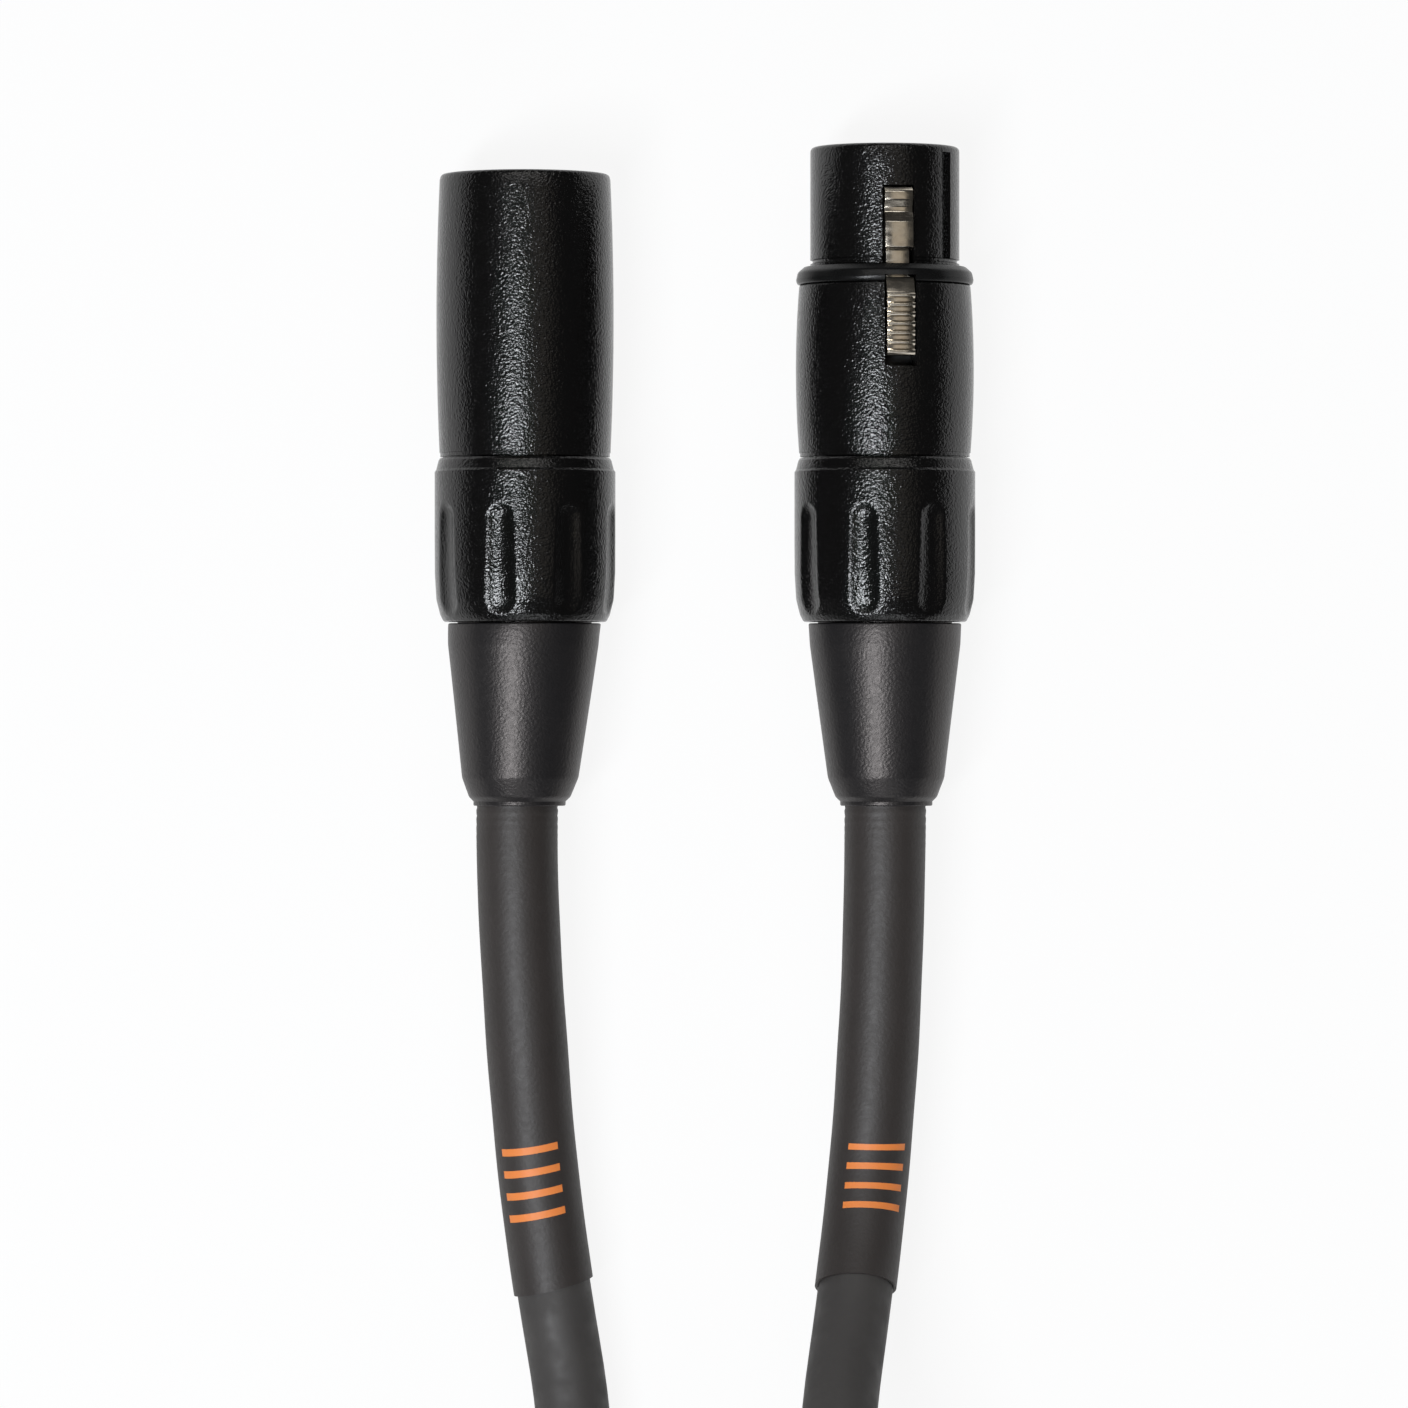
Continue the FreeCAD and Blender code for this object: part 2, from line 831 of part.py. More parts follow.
def make_chuck(label, frame):
    """The plastic collet that the nut presses onto the cord's jacket."""
    chuck = new_body(label, frame)
    bore = S.cord_diameter / 2 + S.chuck_clearance
    radius = nut_bore - S.chuck_side_gap
    nose = rear_bore - S.chuck_nose_gap
    front = S.chuck_nose_length - S.thread_length
    rear = boot_front + S.chuck_boot_gap
    turn(
        chuck,
        "collet",
        [
            (bore, rear),
            (radius - S.chuck_taper, rear),
            (radius, rear + S.chuck_taper_length),
            (radius, -S.thread_length),
            (nose, -S.thread_length),
            (nose, front),
            (bore, front),
        ],
    )
    slot = extrude(
        chuck,
        "slot",
        "Pocket",
        [
            box_outline(
                rear - S.cut_margin,
                front - S.chuck_bridge,
                bore - S.cut_margin,
                radius + S.cut_margin,
            )
        ],
        S.chuck_slot_width,
    )
    repeat_round(chuck, "slots", slot, S.chuck_slot_count)


def make_nut(label, frame):
    """The fluted nut: its thread takes the spigot, and its rear lip holds the boot."""
    nut = new_body(label, frame)
    rim_radius = nut_radius - S.nut_rim_step
    rim_rear = -S.nut_gap - S.nut_rim_length
    turn(
        nut,
        "sleeve",
        [
            (lip_hole, nut_rear),
            (nut_radius - S.nut_rear_drop, nut_rear, S.nut_round),
            (nut_radius - S.nut_round_drop, nut_rear + S.nut_round),
            (nut_radius, nut_rear / 2),
            (nut_radius, rim_rear - S.nut_rim_slope),
            (rim_radius, rim_rear),
            (rim_radius, -S.nut_gap - S.nut_rim_chamfer),
            (rim_radius - S.nut_rim_chamfer, -S.nut_gap),
            (nut_bore, -S.nut_gap),
            (nut_bore, nut_rear + S.nut_lip),
            (lip_hole, nut_rear + S.nut_lip),
        ],
    )
    flute_axis = nut_radius + S.flute_axis_out
    flute_front = -S.flute_front
    flute_rear = nut_rear - S.cut_margin
    sketch = new_sketch(nut, "flute_outline", "XY_Plane")
    draw_outline(
        sketch,
        [
            (flute_axis, flute_rear),
            (flute_axis, flute_front, S.flute_front_radius),
            (flute_axis - S.flute_front_radius, flute_front - S.flute_front_radius),
            (flute_axis - S.flute_rear_radius, flute_rear),
        ],
    )
    axis = Part.LineSegment(Vector(flute_axis.value, nut_rear.value, 0), Vector(flute_axis.value, 0, 0))
    line = sketch.addGeometry(axis, True)
    fix_point(sketch, line, 1, flute_axis, nut_rear)
    fix_point(sketch, line, 2, flute_axis, as_size(0))
    flute = nut.newObject("PartDesign::Groove", "flute")
    flute.Profile = sketch
    flute.ReferenceAxis = (sketch, ["Axis0"])
    flute.Angle = 360
    repeat_round(nut, "flutes", flute, S.flute_count)


def make_boot(label, frame):
    """The rubber boot: a flange inside the nut's lip, then a collar and a cone over the cord."""
    boot = new_body(label, frame)
    bore = sleeve_radius + S.boot_bore_gap
    neck = lip_hole - S.boot_gap
    radius = nut_radius - S.nut_rear_drop - S.boot_step
    hollow = neck - S.boot_wall
    neck_front = boot_front - S.boot_flange_length
    collar = nut_rear - S.boot_gap
    cone = collar - S.boot_collar_length
    shoulder = cone - S.boot_cone_length
    lip = shoulder - S.boot_shoulder_length
    rear = lip - S.boot_lip_length
    turn(
        boot,
        "cone",
        [
            (bore, rear),
            (bore + S.boot_lip_wall, rear),
            (bore + S.boot_lip_wall, lip, S.boot_shoulder_round),
            (bore + S.boot_cone_wall, shoulder),
            (radius - S.boot_collar_taper, cone),
            (radius, collar),
            (neck, collar),
            (neck, neck_front),
            (nut_bore - S.boot_gap, neck_front),
            (nut_bore - S.boot_gap, boot_front),
            (hollow, boot_front),
            (hollow, cone),
            (bore, shoulder + S.boot_hollow_end),
        ],
    )


for name, side, roll in (("male", -1, 0), ("female", 1, S.latch_roll.value)):
    make_chuck(f"{name}_chuck", connector_frame(side, roll))
    make_nut(f"{name}_back_nut", connector_frame(side, S.nut_roll.value))
    make_boot(f"{name}_boot", connector_frame(side, 0))


# Cords and wires: straight runs joined by tangent arcs
def new_solid(label, shape):
    feature = doc.addObject("Part::Feature", label)
    feature.Label = label
    feature.Shape = shape
    feature.Placement = Placement()
    pieces.append(feature)
    return feature


RUN_SHARE = 0.45


def rounded_path(points):
    """Edges along the points: each corner is an arc as large as its two runs allow. Also gives the radii."""
    edges = []
    radii = []
    start = points[0]
    for before, corner, after in zip(points, points[1:], points[2:]):
        back = (before - corner).normalize()
        ahead = (after - corner).normalize()
        reach = RUN_SHARE * min((before - corner).Length, (after - corner).Length)
        half_turn = (math.pi - back.getAngle(ahead)) / 2
        radius = reach / math.tan(half_turn)
        entry = corner + back * reach
        leave = corner + ahead * reach
        towards = (back + ahead).normalize()
        middle = corner + towards * (radius / math.cos(half_turn) - radius)
        edges.append(Part.LineSegment(start, entry).toShape())
        edges.append(Part.Arc(entry, middle, leave).toShape())
        radii.append(radius)
        start = leave
    edges.append(Part.LineSegment(start, points[-1]).toShape())
    return edges, radii


def stretch_of(edges, begin, end):
    """The edges between two lengths along a path."""
    kept = []
    passed = 0.0
    for edge in edges:
        low = max(begin - passed, 0.0)
        high = min(end - passed, edge.Length)
        if high - low > 0.01:
            first = edge.getParameterByLength(low)
            last = edge.getParameterByLength(high)
            kept.append(edge.Curve.toShape(first, last))
        passed += edge.Length
    return kept


def path_length(edges):
    return sum(edge.Length for edge in edges)


def tube(edges, radius):
    """A solid round rod along the edges."""
    first = edges[0]
    begin = first.valueAt(first.FirstParameter)
    ahead = first.tangentAt(first.FirstParameter)
    circle = Part.Wire([Part.Circle(begin, ahead, radius).toShape()])
    solid = Part.Wire(edges).makePipeShell([circle], True, False)
    if solid.Volume < 0:
        solid.reverse()
    share = solid.Volume / (math.pi * radius**2 * path_length(edges))
    print(f"  rod of radius {radius:.2f}, length {path_length(edges):.1f}, volume share {share:.4f}")
    return solid


# The coil: it starts on the floor at its outer left, runs round in 4 layers and leaves at its upper right
cord_radius = S.cord_diameter.value / 2
pitch = S.cord_diameter.value + S.coil_gap.value
layers = int(S.coil_layers.value)
coil_radius = S.coil_radius.value
coil_centre = Vector(0, -S.coil_centre_back.value, 0)
coil_floor = cord_radius + S.tie_thickness.value + S.tie_clearance.value
start_angle = S.coil_start_angle.value
stations_to_layer = int(S.coil_station_count.value)
end_angle = 180 - start_angle + 360 * S.coil_turns.value
layer_sweep = (end_angle - start_angle) / layers


def coil_station(number):
    """Place and heading at one of the coil's stations: the first and last of a layer are at a reversal."""
    layer, within = divmod(number, stations_to_layer)
    turned = within / stations_to_layer * layer_sweep
    inwards = layer % 2 == 0
    drawn_in = pitch * (turned if inwards else layer_sweep - turned) / 360
    radius = coil_radius - drawn_in
    angle = math.radians(start_angle + number / stations_to_layer * layer_sweep)
    outwards = Vector(math.cos(angle), math.sin(angle), 0)
    along = Vector(-math.sin(angle), math.cos(angle), 0)
    at_reversal = within == 0
    climbing = at_reversal and 0 < number < stations_to_layer * layers
    height = coil_floor + pitch * min(layer, layers - 1)
    heading = Vector(along)
    if climbing:
        height -= pitch / 2
        quarter = radius * math.radians(layer_sweep / stations_to_layer)
        heading = along + Vector(0, 0, 1) * (pitch / quarter)
    if not at_reversal:
        heading = along + outwards * (pitch / (2 * math.pi * radius) * (-1 if inwards else 1))
    return coil_centre + outwards * radius + Vector(0, 0, height), heading.normalize()


def arc_from(begin, heading, end):
    """An arc that leaves a point along a heading and ends at another point."""
    chord = end - begin
    across = chord - heading * chord.dot(heading)
    if across.Length < 1e-6:
        return Part.LineSegment(begin, end).toShape()
    across.normalize()
    radius = chord.Length**2 / (2 * chord.dot(across))
    centre = begin + across * radius
    middle = centre + ((begin - centre) + (end - centre)).normalize() * radius
    return Part.Arc(begin, middle, end).toShape()


def biarc(begin, begin_heading, end, end_heading):
    """Two arcs that join at one heading and reach from one place and heading to another."""
    chord = end - begin
    both = begin_heading + end_heading
    spread = 2 * (1 - begin_heading.dot(end_heading))
    towards = chord.dot(both)
    reach = (-towards + math.sqrt(towards**2 + spread * chord.dot(chord))) / spread
    joint = (begin + end + (begin_heading - end_heading) * reach) / 2
    second = arc_from(end, -end_heading, joint)
    return [arc_from(begin, begin_heading, joint), reversed_edge(second)]


def reversed_edge(edge):
    """The same line or arc, run from its other end."""
    points = [edge.valueAt(edge.LastParameter), edge.valueAt(edge.FirstParameter)]
    if isinstance(edge.Curve, Part.Line):
        return Part.LineSegment(*points).toShape()
    middle = edge.valueAt((edge.FirstParameter + edge.LastParameter) / 2)
    return Part.Arc(points[0], middle, points[1]).toShape()


stations = [coil_station(number) for number in range(stations_to_layer * layers + 1)]
coil_start, coil_start_heading = stations[0]
coil_end, coil_end_heading = stations[-1]
coil_entry = coil_start - coil_start_heading * S.coil_lead.value
coil_exit = coil_end + coil_end_heading * S.coil_lead.value
coil_edges = [Part.LineSegment(coil_entry, coil_start).toShape()]
for here, there in zip(stations, stations[1:]):
    coil_edges += biarc(*here, *there)
coil_edges.append(Part.LineSegment(coil_end, coil_exit).toShape())


def least_self_gap(edges, diameter):
    """The least gap between windings of a tube, measured on points along its path."""
    step = 2.0
    points = []
    for edge in edges:
        count = max(int(edge.Length / step), 1)
        points += [edge.valueAt(edge.getParameterByLength(edge.Length * i / count)) for i in range(count)]
    near = int(diameter * 4 / step)
    least = min(
        (a - b).Length for number, a in enumerate(points) for b in points[number + near :]
    )
    return least - diameter


print(f"coil: least self-gap {least_self_gap(coil_edges, S.cord_diameter.value):.3f} mm")
coil_radii = [edge.Curve.Radius for edge in coil_edges if isinstance(edge.Curve, Part.Circle)]
print(f"coil: radii {min(coil_radii):.1f} to {max(coil_radii):.1f} mm")

# Routes of the two free stretches, from inside the connectors to the coil. Their first points lie on the
# connectors' axes, and their last run is in line with the coil's straight end.
jacket_end = S.joint_ahead.value - S.jacket_end_inside.value
axis_x = half_spacing
male_route = [
    Vector(-axis_x, jacket_end, nut_height),
    Vector(-19.4, -44, 9.75),
    Vector(-17.9, -79.5, 5.9),
    Vector(-12.8, -108, 4.9),
    coil_entry - coil_start_heading * S.last_run.value,
    coil_entry,
]
female_route = [
    Vector(axis_x, jacket_end, nut_height),
    Vector(19.35, -44, 9.75),
    Vector(17.8, -79.5, 6.4),
    Vector(12.8, -108, 24.6),
    coil_exit + coil_end_heading * S.last_run.value,
    coil_exit,
]
cord_length = path_length(coil_edges)
sleeve_start = S.sleeve_start_inside.value - S.jacket_end_inside.value
sleeve_end = sleeve_start + S.sleeve_length.value
for name, route in (("male", male_route), ("female", female_route)):
    edges, radii = rounded_path(route)
    print(f"{name} run: {path_length(edges):.1f} mm, radii {', '.join(f'{radius:.0f}' for radius in radii)}")
    cord_length += path_length(edges)
    new_solid(f"cable_{name}_run", tube(edges, cord_radius))
    covered = stretch_of(edges, sleeve_start, sleeve_end)
    outside = tube(covered, sleeve_radius.value)
    inside = tube(covered, cord_radius + S.sleeve_clearance.value)
    new_solid(f"{name}_sleeve", outside.cut(inside))
new_solid("cable_coil", tube(coil_edges, cord_radius))
print(f"cord: {cord_length:.0f} mm from one jacket end to the other")


# Wires from the jacket's end to the solder cups
def make_wire(label, frame, number, seat):
    circle = pin_circle.value
    across, up = {"1": (-circle, 0), "2": (circle, 0), "3": (0, -circle)}[number]
    spread = S.wire_spread.value / circle
    cup_mouth = seat - S.flange_length.value - S.cup_floor.value - S.cup_depth.value
    begin = S.wire_gap.value - S.jacket_end_inside.value
    points = [
        Vector(across * spread, begin, up * spread),
        Vector(across * spread, begin + S.wire_straight.value, up * spread),
        Vector(across, cup_mouth - S.wire_end_straight.value, up),
        Vector(across, cup_mouth + S.wire_into_cup.value, up),
    ]
    edges, radii = rounded_path([frame.multVec(point) for point in points])
    new_solid(label, tube(edges, S.wire_radius.value))


for role, number in WIRES.items():
    make_wire(f"male_wire_{role}", male, number, S.male_seat_at.value)
    make_wire(f"female_wire_{role}", female, number, S.female_seat_at.value)

# Tie: a strap wound round the coil's far side, where the cords run across
tie = new_body("cable_tie", Placement(Vector(0, -S.coil_centre_back.value, 0), Rotation()))
far_angle = as_size(270) - S.coil_start_angle
outer_turn = S.coil_radius - (S.cord_diameter + S.coil_gap) * far_angle / 360
sweep_of_layer = (as_size(180) - S.coil_start_angle * 2 + S.coil_turns * 360) / S.coil_layers
inner_turn = S.coil_radius - (S.cord_diameter + S.coil_gap) * sweep_of_layer / 360
sagitta = S.tie_width * S.tie_width / (inner_turn * 8)
hole_far = -(outer_turn + S.cord_diameter / 2 + S.tie_clearance)
hole_near = -(inner_turn - S.cord_diameter / 2 - S.tie_clearance * 3 - sagitta)
hole_low = S.tie_thickness
layer_rise = (S.cord_diameter + S.coil_gap) * (S.coil_layers - 1)
hole_high = S.tie_thickness + S.tie_clearance * 2 + S.cord_diameter + layer_rise


def rounded_box(low_x, high_x, low_y, high_y, corner):
    return [
        (low_x + corner, low_y),
        (high_x - corner, low_y, corner),
        (high_x, low_y + corner),
        (high_x, high_y - corner, corner),
        (high_x - corner, high_y),
        (low_x + corner, high_y, corner),
        (low_x, high_y - corner),
        (low_x, low_y + corner, corner),
    ]


extrude(
    tie,
    "strap",
    "Pad",
    [
        rounded_box(
            hole_far - S.tie_thickness,
            hole_near + S.tie_thickness,
            hole_low - S.tie_thickness,
            hole_high + S.tie_thickness,
            S.tie_corner + S.tie_thickness,
        ),
        rounded_box(hole_far, hole_near, hole_low, hole_high, S.tie_corner),
    ],
    S.tie_width,
)

doc.recompute()
faults = [
    f"{piece.Name}: {', '.join(piece.State)}"
    for piece in doc.Objects
    if "Invalid" in piece.State or "Error" in piece.State
]
for piece in pieces:
    if piece.Shape.isNull() or not piece.Shape.isValid() or not piece.Shape.Solids:
        faults.append(f"{piece.Label}: no valid solid")
if faults:
    raise RuntimeError("; ".join(faults))

os.makedirs("parts", exist_ok=True)
for piece in pieces:
    piece.Shape.exportStep(f"parts/{piece.Label}.step")
print(f"{len(pieces)} nodes written")
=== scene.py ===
"""The looks of a balanced microphone cable: two plugs side by side, and their cord in a tied coil."""

import math

import bpy
from mathutils import Matrix, Vector


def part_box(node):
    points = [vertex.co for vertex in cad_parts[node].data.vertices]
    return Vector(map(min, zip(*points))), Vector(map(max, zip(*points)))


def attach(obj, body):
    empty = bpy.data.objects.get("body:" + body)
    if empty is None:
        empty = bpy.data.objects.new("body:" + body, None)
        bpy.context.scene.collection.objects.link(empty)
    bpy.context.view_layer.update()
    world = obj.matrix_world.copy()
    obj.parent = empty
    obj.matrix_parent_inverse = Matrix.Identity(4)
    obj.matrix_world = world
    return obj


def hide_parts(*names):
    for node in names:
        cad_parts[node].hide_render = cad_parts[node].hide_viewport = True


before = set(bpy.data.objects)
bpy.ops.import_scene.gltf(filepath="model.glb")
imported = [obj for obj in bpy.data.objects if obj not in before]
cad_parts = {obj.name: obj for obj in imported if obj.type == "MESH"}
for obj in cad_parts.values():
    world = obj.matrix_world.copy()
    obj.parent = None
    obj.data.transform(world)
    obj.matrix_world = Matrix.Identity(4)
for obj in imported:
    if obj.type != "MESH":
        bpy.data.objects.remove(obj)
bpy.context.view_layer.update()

# Camera, table and lamps: the camera looks straight down on the plugs, which lie on a white table. A long
# soft lamp stands above their left side, a weak warm one above their right, and two light them from the ends.
HORIZON_GREY = 0.85
OVERHEAD_GREY = 0.035
TABLE_GREY = 0.86
TABLE_WHITE_SHARE = 0.9

scene = bpy.context.scene
scene.view_settings.view_transform = "Standard"
bpy.ops.object.camera_add(location=(-0.0001, -0.0243, 0.84), rotation=(0, 0, 0))
camera = bpy.context.object
camera.data.sensor_width = 36
camera.data.lens = 197.85
scene.camera = camera


def add_lamp(name, place, size, watts, colour):
    """A rectangular lamp that faces the plugs."""
    bpy.ops.object.light_add(type="AREA", location=place)
    lamp = bpy.context.object
    lamp.name = name
    lamp.rotation_euler = Vector(place).to_track_quat("Z", "Y").to_euler()
    lamp.data.shape = "RECTANGLE"
    lamp.data.size, lamp.data.size_y = size
    lamp.data.energy = watts
    lamp.data.color = colour


add_lamp("key_lamp", (-0.31, -0.28, 0.95), (0.14, 0.54), 9.4, (0.93, 0.96, 1.0))
add_lamp("warm_lamp", (0.34, 0.05, 0.95), (0.34, 0.42), 0.22, (1.0, 0.90, 0.76))
add_lamp("front_lamp", (0.0, 0.62, 1.02), (1.2, 0.20), 2.4, (1.0, 0.98, 0.95))
add_lamp("rear_lamp", (0.1, -1.15, 0.70), (1.0, 0.40), 2.4, (0.96, 0.98, 1.0))

scene.world = bpy.data.worlds.new("studio")
scene.world.use_nodes = True
sky = scene.world.node_tree
sky_place = sky.nodes.new("ShaderNodeTexCoord")
sky_height = sky.nodes.new("ShaderNodeSeparateXYZ")
sky_ramp = sky.nodes.new("ShaderNodeValToRGB")
for element, height, grey in zip(sky_ramp.color_ramp.elements, (0.005, 0.06), (HORIZON_GREY, OVERHEAD_GREY)):
    element.position = height
    element.color = (grey, grey, grey, 1)
sky.links.new(sky_place.outputs["Generated"], sky_height.inputs["Vector"])
sky.links.new(sky_height.outputs["Z"], sky_ramp.inputs["Fac"])
sky.links.new(sky_ramp.outputs["Color"], sky.nodes["Background"].inputs["Color"])

bpy.ops.mesh.primitive_plane_add(size=8)
table = bpy.context.object
table.name = "table"
table_paint = bpy.data.materials.new("table_white")
table_paint.use_nodes = True
tree = table_paint.node_tree
tree.nodes["Principled BSDF"].inputs["Base Color"].default_value = (TABLE_GREY, TABLE_GREY, TABLE_GREY, 1)
tree.nodes["Principled BSDF"].inputs["Roughness"].default_value = 0.9
white = tree.nodes.new("ShaderNodeEmission")
white.inputs["Color"].default_value = (1, 1, 1, 1)
rays = tree.nodes.new("ShaderNodeLightPath")
seen = tree.nodes.new("ShaderNodeMath")
seen.operation = "MAXIMUM"
seen_through = tree.nodes.new("ShaderNodeMath")
seen_through.operation = "MAXIMUM"
share = tree.nodes.new("ShaderNodeMath")
share.operation = "MULTIPLY"
share.inputs[1].default_value = TABLE_WHITE_SHARE
blend = tree.nodes.new("ShaderNodeMixShader")
tree.links.new(rays.outputs["Is Camera Ray"], seen.inputs[0])
tree.links.new(rays.outputs["Is Glossy Ray"], seen.inputs[1])
tree.links.new(seen.outputs[0], seen_through.inputs[0])
tree.links.new(rays.outputs["Is Transmission Ray"], seen_through.inputs[1])
tree.links.new(seen_through.outputs[0], share.inputs[0])
tree.links.new(share.outputs[0], blend.inputs["Fac"])
tree.links.new(tree.nodes["Principled BSDF"].outputs[0], blend.inputs[1])
tree.links.new(white.outputs[0], blend.inputs[2])
tree.links.new(blend.outputs[0], tree.nodes["Material Output"].inputs["Surface"])
table.data.materials.append(table_paint)

# Cord: one soft 8 mm cable with a matt charcoal jacket, from the male plug into the coil and back to the
# female plug. Its free ends follow listed points, and the coil winds in and out again in four layers.
CORD_DIAMETER = 0.008
male_points = [
    (-0.0193, -0.0078, 0.0097),
    (-0.0194, -0.0220, 0.0097),
    (-0.0204, -0.0370, 0.0097),
    (-0.0195, -0.0570, 0.0088),
    (-0.0176, -0.0800, 0.0058),
    (-0.0128, -0.1080, 0.0049),
]
female_points = [
    (0.0193, -0.0078, 0.0097),
    (0.0193, -0.0220, 0.0097),
    (0.0194, -0.0400, 0.0097),
    (0.0188, -0.0600, 0.0086),
    (0.0171, -0.0810, 0.0080),
    (0.0128, -0.1080, 0.0246),
]
COIL_CENTRE = Vector((0, -0.168, 0))
COIL_RADIUS = 0.041
COIL_PITCH = 0.0085
COIL_LAYERS = 4
COIL_FLOOR = 0.005
COIL_START = 141.0
COIL_END = 180 - COIL_START + 360 * 6
LAYER_SWEEP = (COIL_END - COIL_START) / COIL_LAYERS
CLIMB = LAYER_SWEEP / 6
POINTS_A_TURN = 24
LEAD = 0.008
LAST_RUN = 0.016


def coil_height(turned):
    """The height of the coil's centreline: level in a layer, and a soft ramp up where the spiral reverses."""
    height = COIL_FLOOR
    for reversal in range(1, COIL_LAYERS):
        share = (turned - reversal * LAYER_SWEEP + CLIMB) / (2 * CLIMB)
        share = min(max(share, 0.0), 1.0)
        height += COIL_PITCH * share * share * (3 - 2 * share)
    return height


def coil_point(turned, widen=1.0):
    """A point on the coil after some degrees of winding."""
    layer = min(int(turned / LAYER_SWEEP), COIL_LAYERS - 1)
    within = turned - layer * LAYER_SWEEP
    drawn_in = within if layer % 2 == 0 else LAYER_SWEEP - within
    radius = (COIL_RADIUS - COIL_PITCH * drawn_in / 360) * widen
    angle = math.radians(COIL_START + turned)
    return COIL_CENTRE + Vector((radius * math.cos(angle), radius * math.sin(angle), coil_height(turned)))


# The spline runs inside its points on a bend, so the points lie a little outside the coil.
steps = round((COIL_END - COIL_START) / 360 * POINTS_A_TURN)
widen = 1 / (0.75 + 0.25 * math.cos(math.radians(360 / POINTS_A_TURN)))
coil_points = [coil_point((COIL_END - COIL_START) * number / steps, widen) for number in range(steps + 1)]
entry_heading = Vector((-math.sin(math.radians(COIL_START)), math.cos(math.radians(COIL_START)), 0))
exit_heading = Vector((-math.sin(math.radians(COIL_END)), math.cos(math.radians(COIL_END)), 0))
coil_entry = coil_points[0] - entry_heading * LEAD
coil_exit = coil_points[-1] + exit_heading * LEAD
route = [Vector(point) for point in male_points]
route += [coil_entry - entry_heading * LAST_RUN, coil_entry]
route += coil_points
route += [coil_exit, coil_exit + exit_heading * LAST_RUN]
route += [Vector(point) for point in reversed(female_points)]


def new_route(name, thickness):
    """One open smooth spline along the whole route."""
    curve = bpy.data.curves.new(name, "CURVE")
    curve.dimensions = "3D"
    spline = curve.splines.new("NURBS")
    spline.points.add(len(route) - 1)
    for number, point in enumerate(route):
        spline.points[number].co = (*point, 1)
    spline.order_u = 3
    spline.use_endpoint_u = True
    curve.bevel_depth = thickness
    curve.use_fill_caps = True
    cord = bpy.data.objects.new(name, curve)
    bpy.context.collection.objects.link(cord)
    return cord


def new_material(name, colour, roughness, metallic=0.0):
    """A material with its plain values on the shader's own sockets. Patterns are linked to it afterwards."""
    material = bpy.data.materials.new(name)
    material.use_nodes = True
    shader = material.node_tree.nodes["Principled BSDF"]
    shader.inputs["Base Color"].default_value = (*colour, 1)
    shader.inputs["Roughness"].default_value = roughness
    shader.inputs["Metallic"].default_value = metallic
    return material


def add_noise(material, size, detail=2.0, stretch=(1, 1, 1), source="Object"):
    """A noise pattern whose grains are about a size in metres. Gives the node's factor output."""
    tree = material.node_tree
    place = tree.nodes.new("ShaderNodeTexCoord")
    mapping = tree.nodes.new("ShaderNodeMapping")
    mapping.inputs["Scale"].default_value = stretch
    noise = tree.nodes.new("ShaderNodeTexNoise")
    noise.inputs["Scale"].default_value = 1 / size
    noise.inputs["Detail"].default_value = detail
    tree.links.new(place.outputs[source], mapping.inputs["Vector"])
    tree.links.new(mapping.outputs["Vector"], noise.inputs["Vector"])
    return noise.outputs["Fac"]


def add_bump(material, height, depth):
    """Raises the surface by a pattern, up to a depth in metres. Patterns add to those before them."""
    tree = material.node_tree
    shader = tree.nodes["Principled BSDF"]
    bump = tree.nodes.new("ShaderNodeBump")
    bump.inputs["Distance"].default_value = depth
    before = shader.inputs["Normal"].links
    if before:
        tree.links.new(before[0].from_socket, bump.inputs["Normal"])
    tree.links.new(height, bump.inputs["Height"])
    tree.links.new(bump.outputs["Normal"], shader.inputs["Normal"])


def vary(material, socket, pattern, low, high):
    """Lets a pattern run a roughness or a colour from one value to another."""
    tree = material.node_tree
    if isinstance(low, tuple):
        ramp = tree.nodes.new("ShaderNodeMix")
        ramp.data_type = "RGBA"
        ramp.inputs["A"].default_value = (*low, 1)
        ramp.inputs["B"].default_value = (*high, 1)
        tree.links.new(pattern, ramp.inputs["Factor"])
        result = ramp.outputs["Result"]
    else:
        ramp = tree.nodes.new("ShaderNodeMapRange")
        ramp.inputs["From Min"].default_value = 0.3
        ramp.inputs["From Max"].default_value = 0.7
        ramp.inputs["To Min"].default_value = low
        ramp.inputs["To Max"].default_value = high
        tree.links.new(pattern, ramp.inputs["Value"])
        result = ramp.outputs["Result"]
    tree.links.new(result, tree.nodes["Principled BSDF"].inputs[socket])
    return result


jacket = new_material("cable_jacket", (0.045, 0.041, 0.039), 0.62)
vary(jacket, "Base Color", add_noise(jacket, 0.006, 3), (0.036, 0.033, 0.032), (0.054, 0.050, 0.047))
vary(jacket, "Roughness", add_noise(jacket, 0.002, 2), 0.55, 0.72)
add_bump(jacket, add_noise(jacket, 0.0004, 2), 0.000012)

cable = new_route("cable", CORD_DIAMETER / 2)
cable.data.resolution_u = 10
cable.data.bevel_resolution = 8
cable.data.materials.append(jacket)
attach(cable, "root")
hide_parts("cable_male_run", "cable_coil", "cable_female_run")

# Sleeves: a length of black heat-shrink tubing on each end of the cord. It is shrunk on from inside the
# boot, so it is pleated a little where the boot squeezes it, and it carries a plain orange print.
SLEEVE_RADIUS = 0.00435
SLEEVE_WALL = 0.0003
SLEEVE_START = 0.0192
SLEEVE_LENGTH = 0.0604
PLEATS_AT = 0.0086
PLEAT_PITCH = 0.0009
PLEAT_RISE = 0.00005
PLEAT_COUNT = 5
WAVE_RISE = 0.00003
SLANTED_CUT = 0.0004
SLEEVE_COLUMNS = 64
SLEEVE_STEP = 0.0003
MAP_SCALE = 10
INK_BARS = (0.0448, 0.0472, 0.0496, 0.0520)
INK_HALF = 0.0004
INK_HALF_TURN = 0.125
INK_TURN = {"male": 0.028, "female": -0.028}


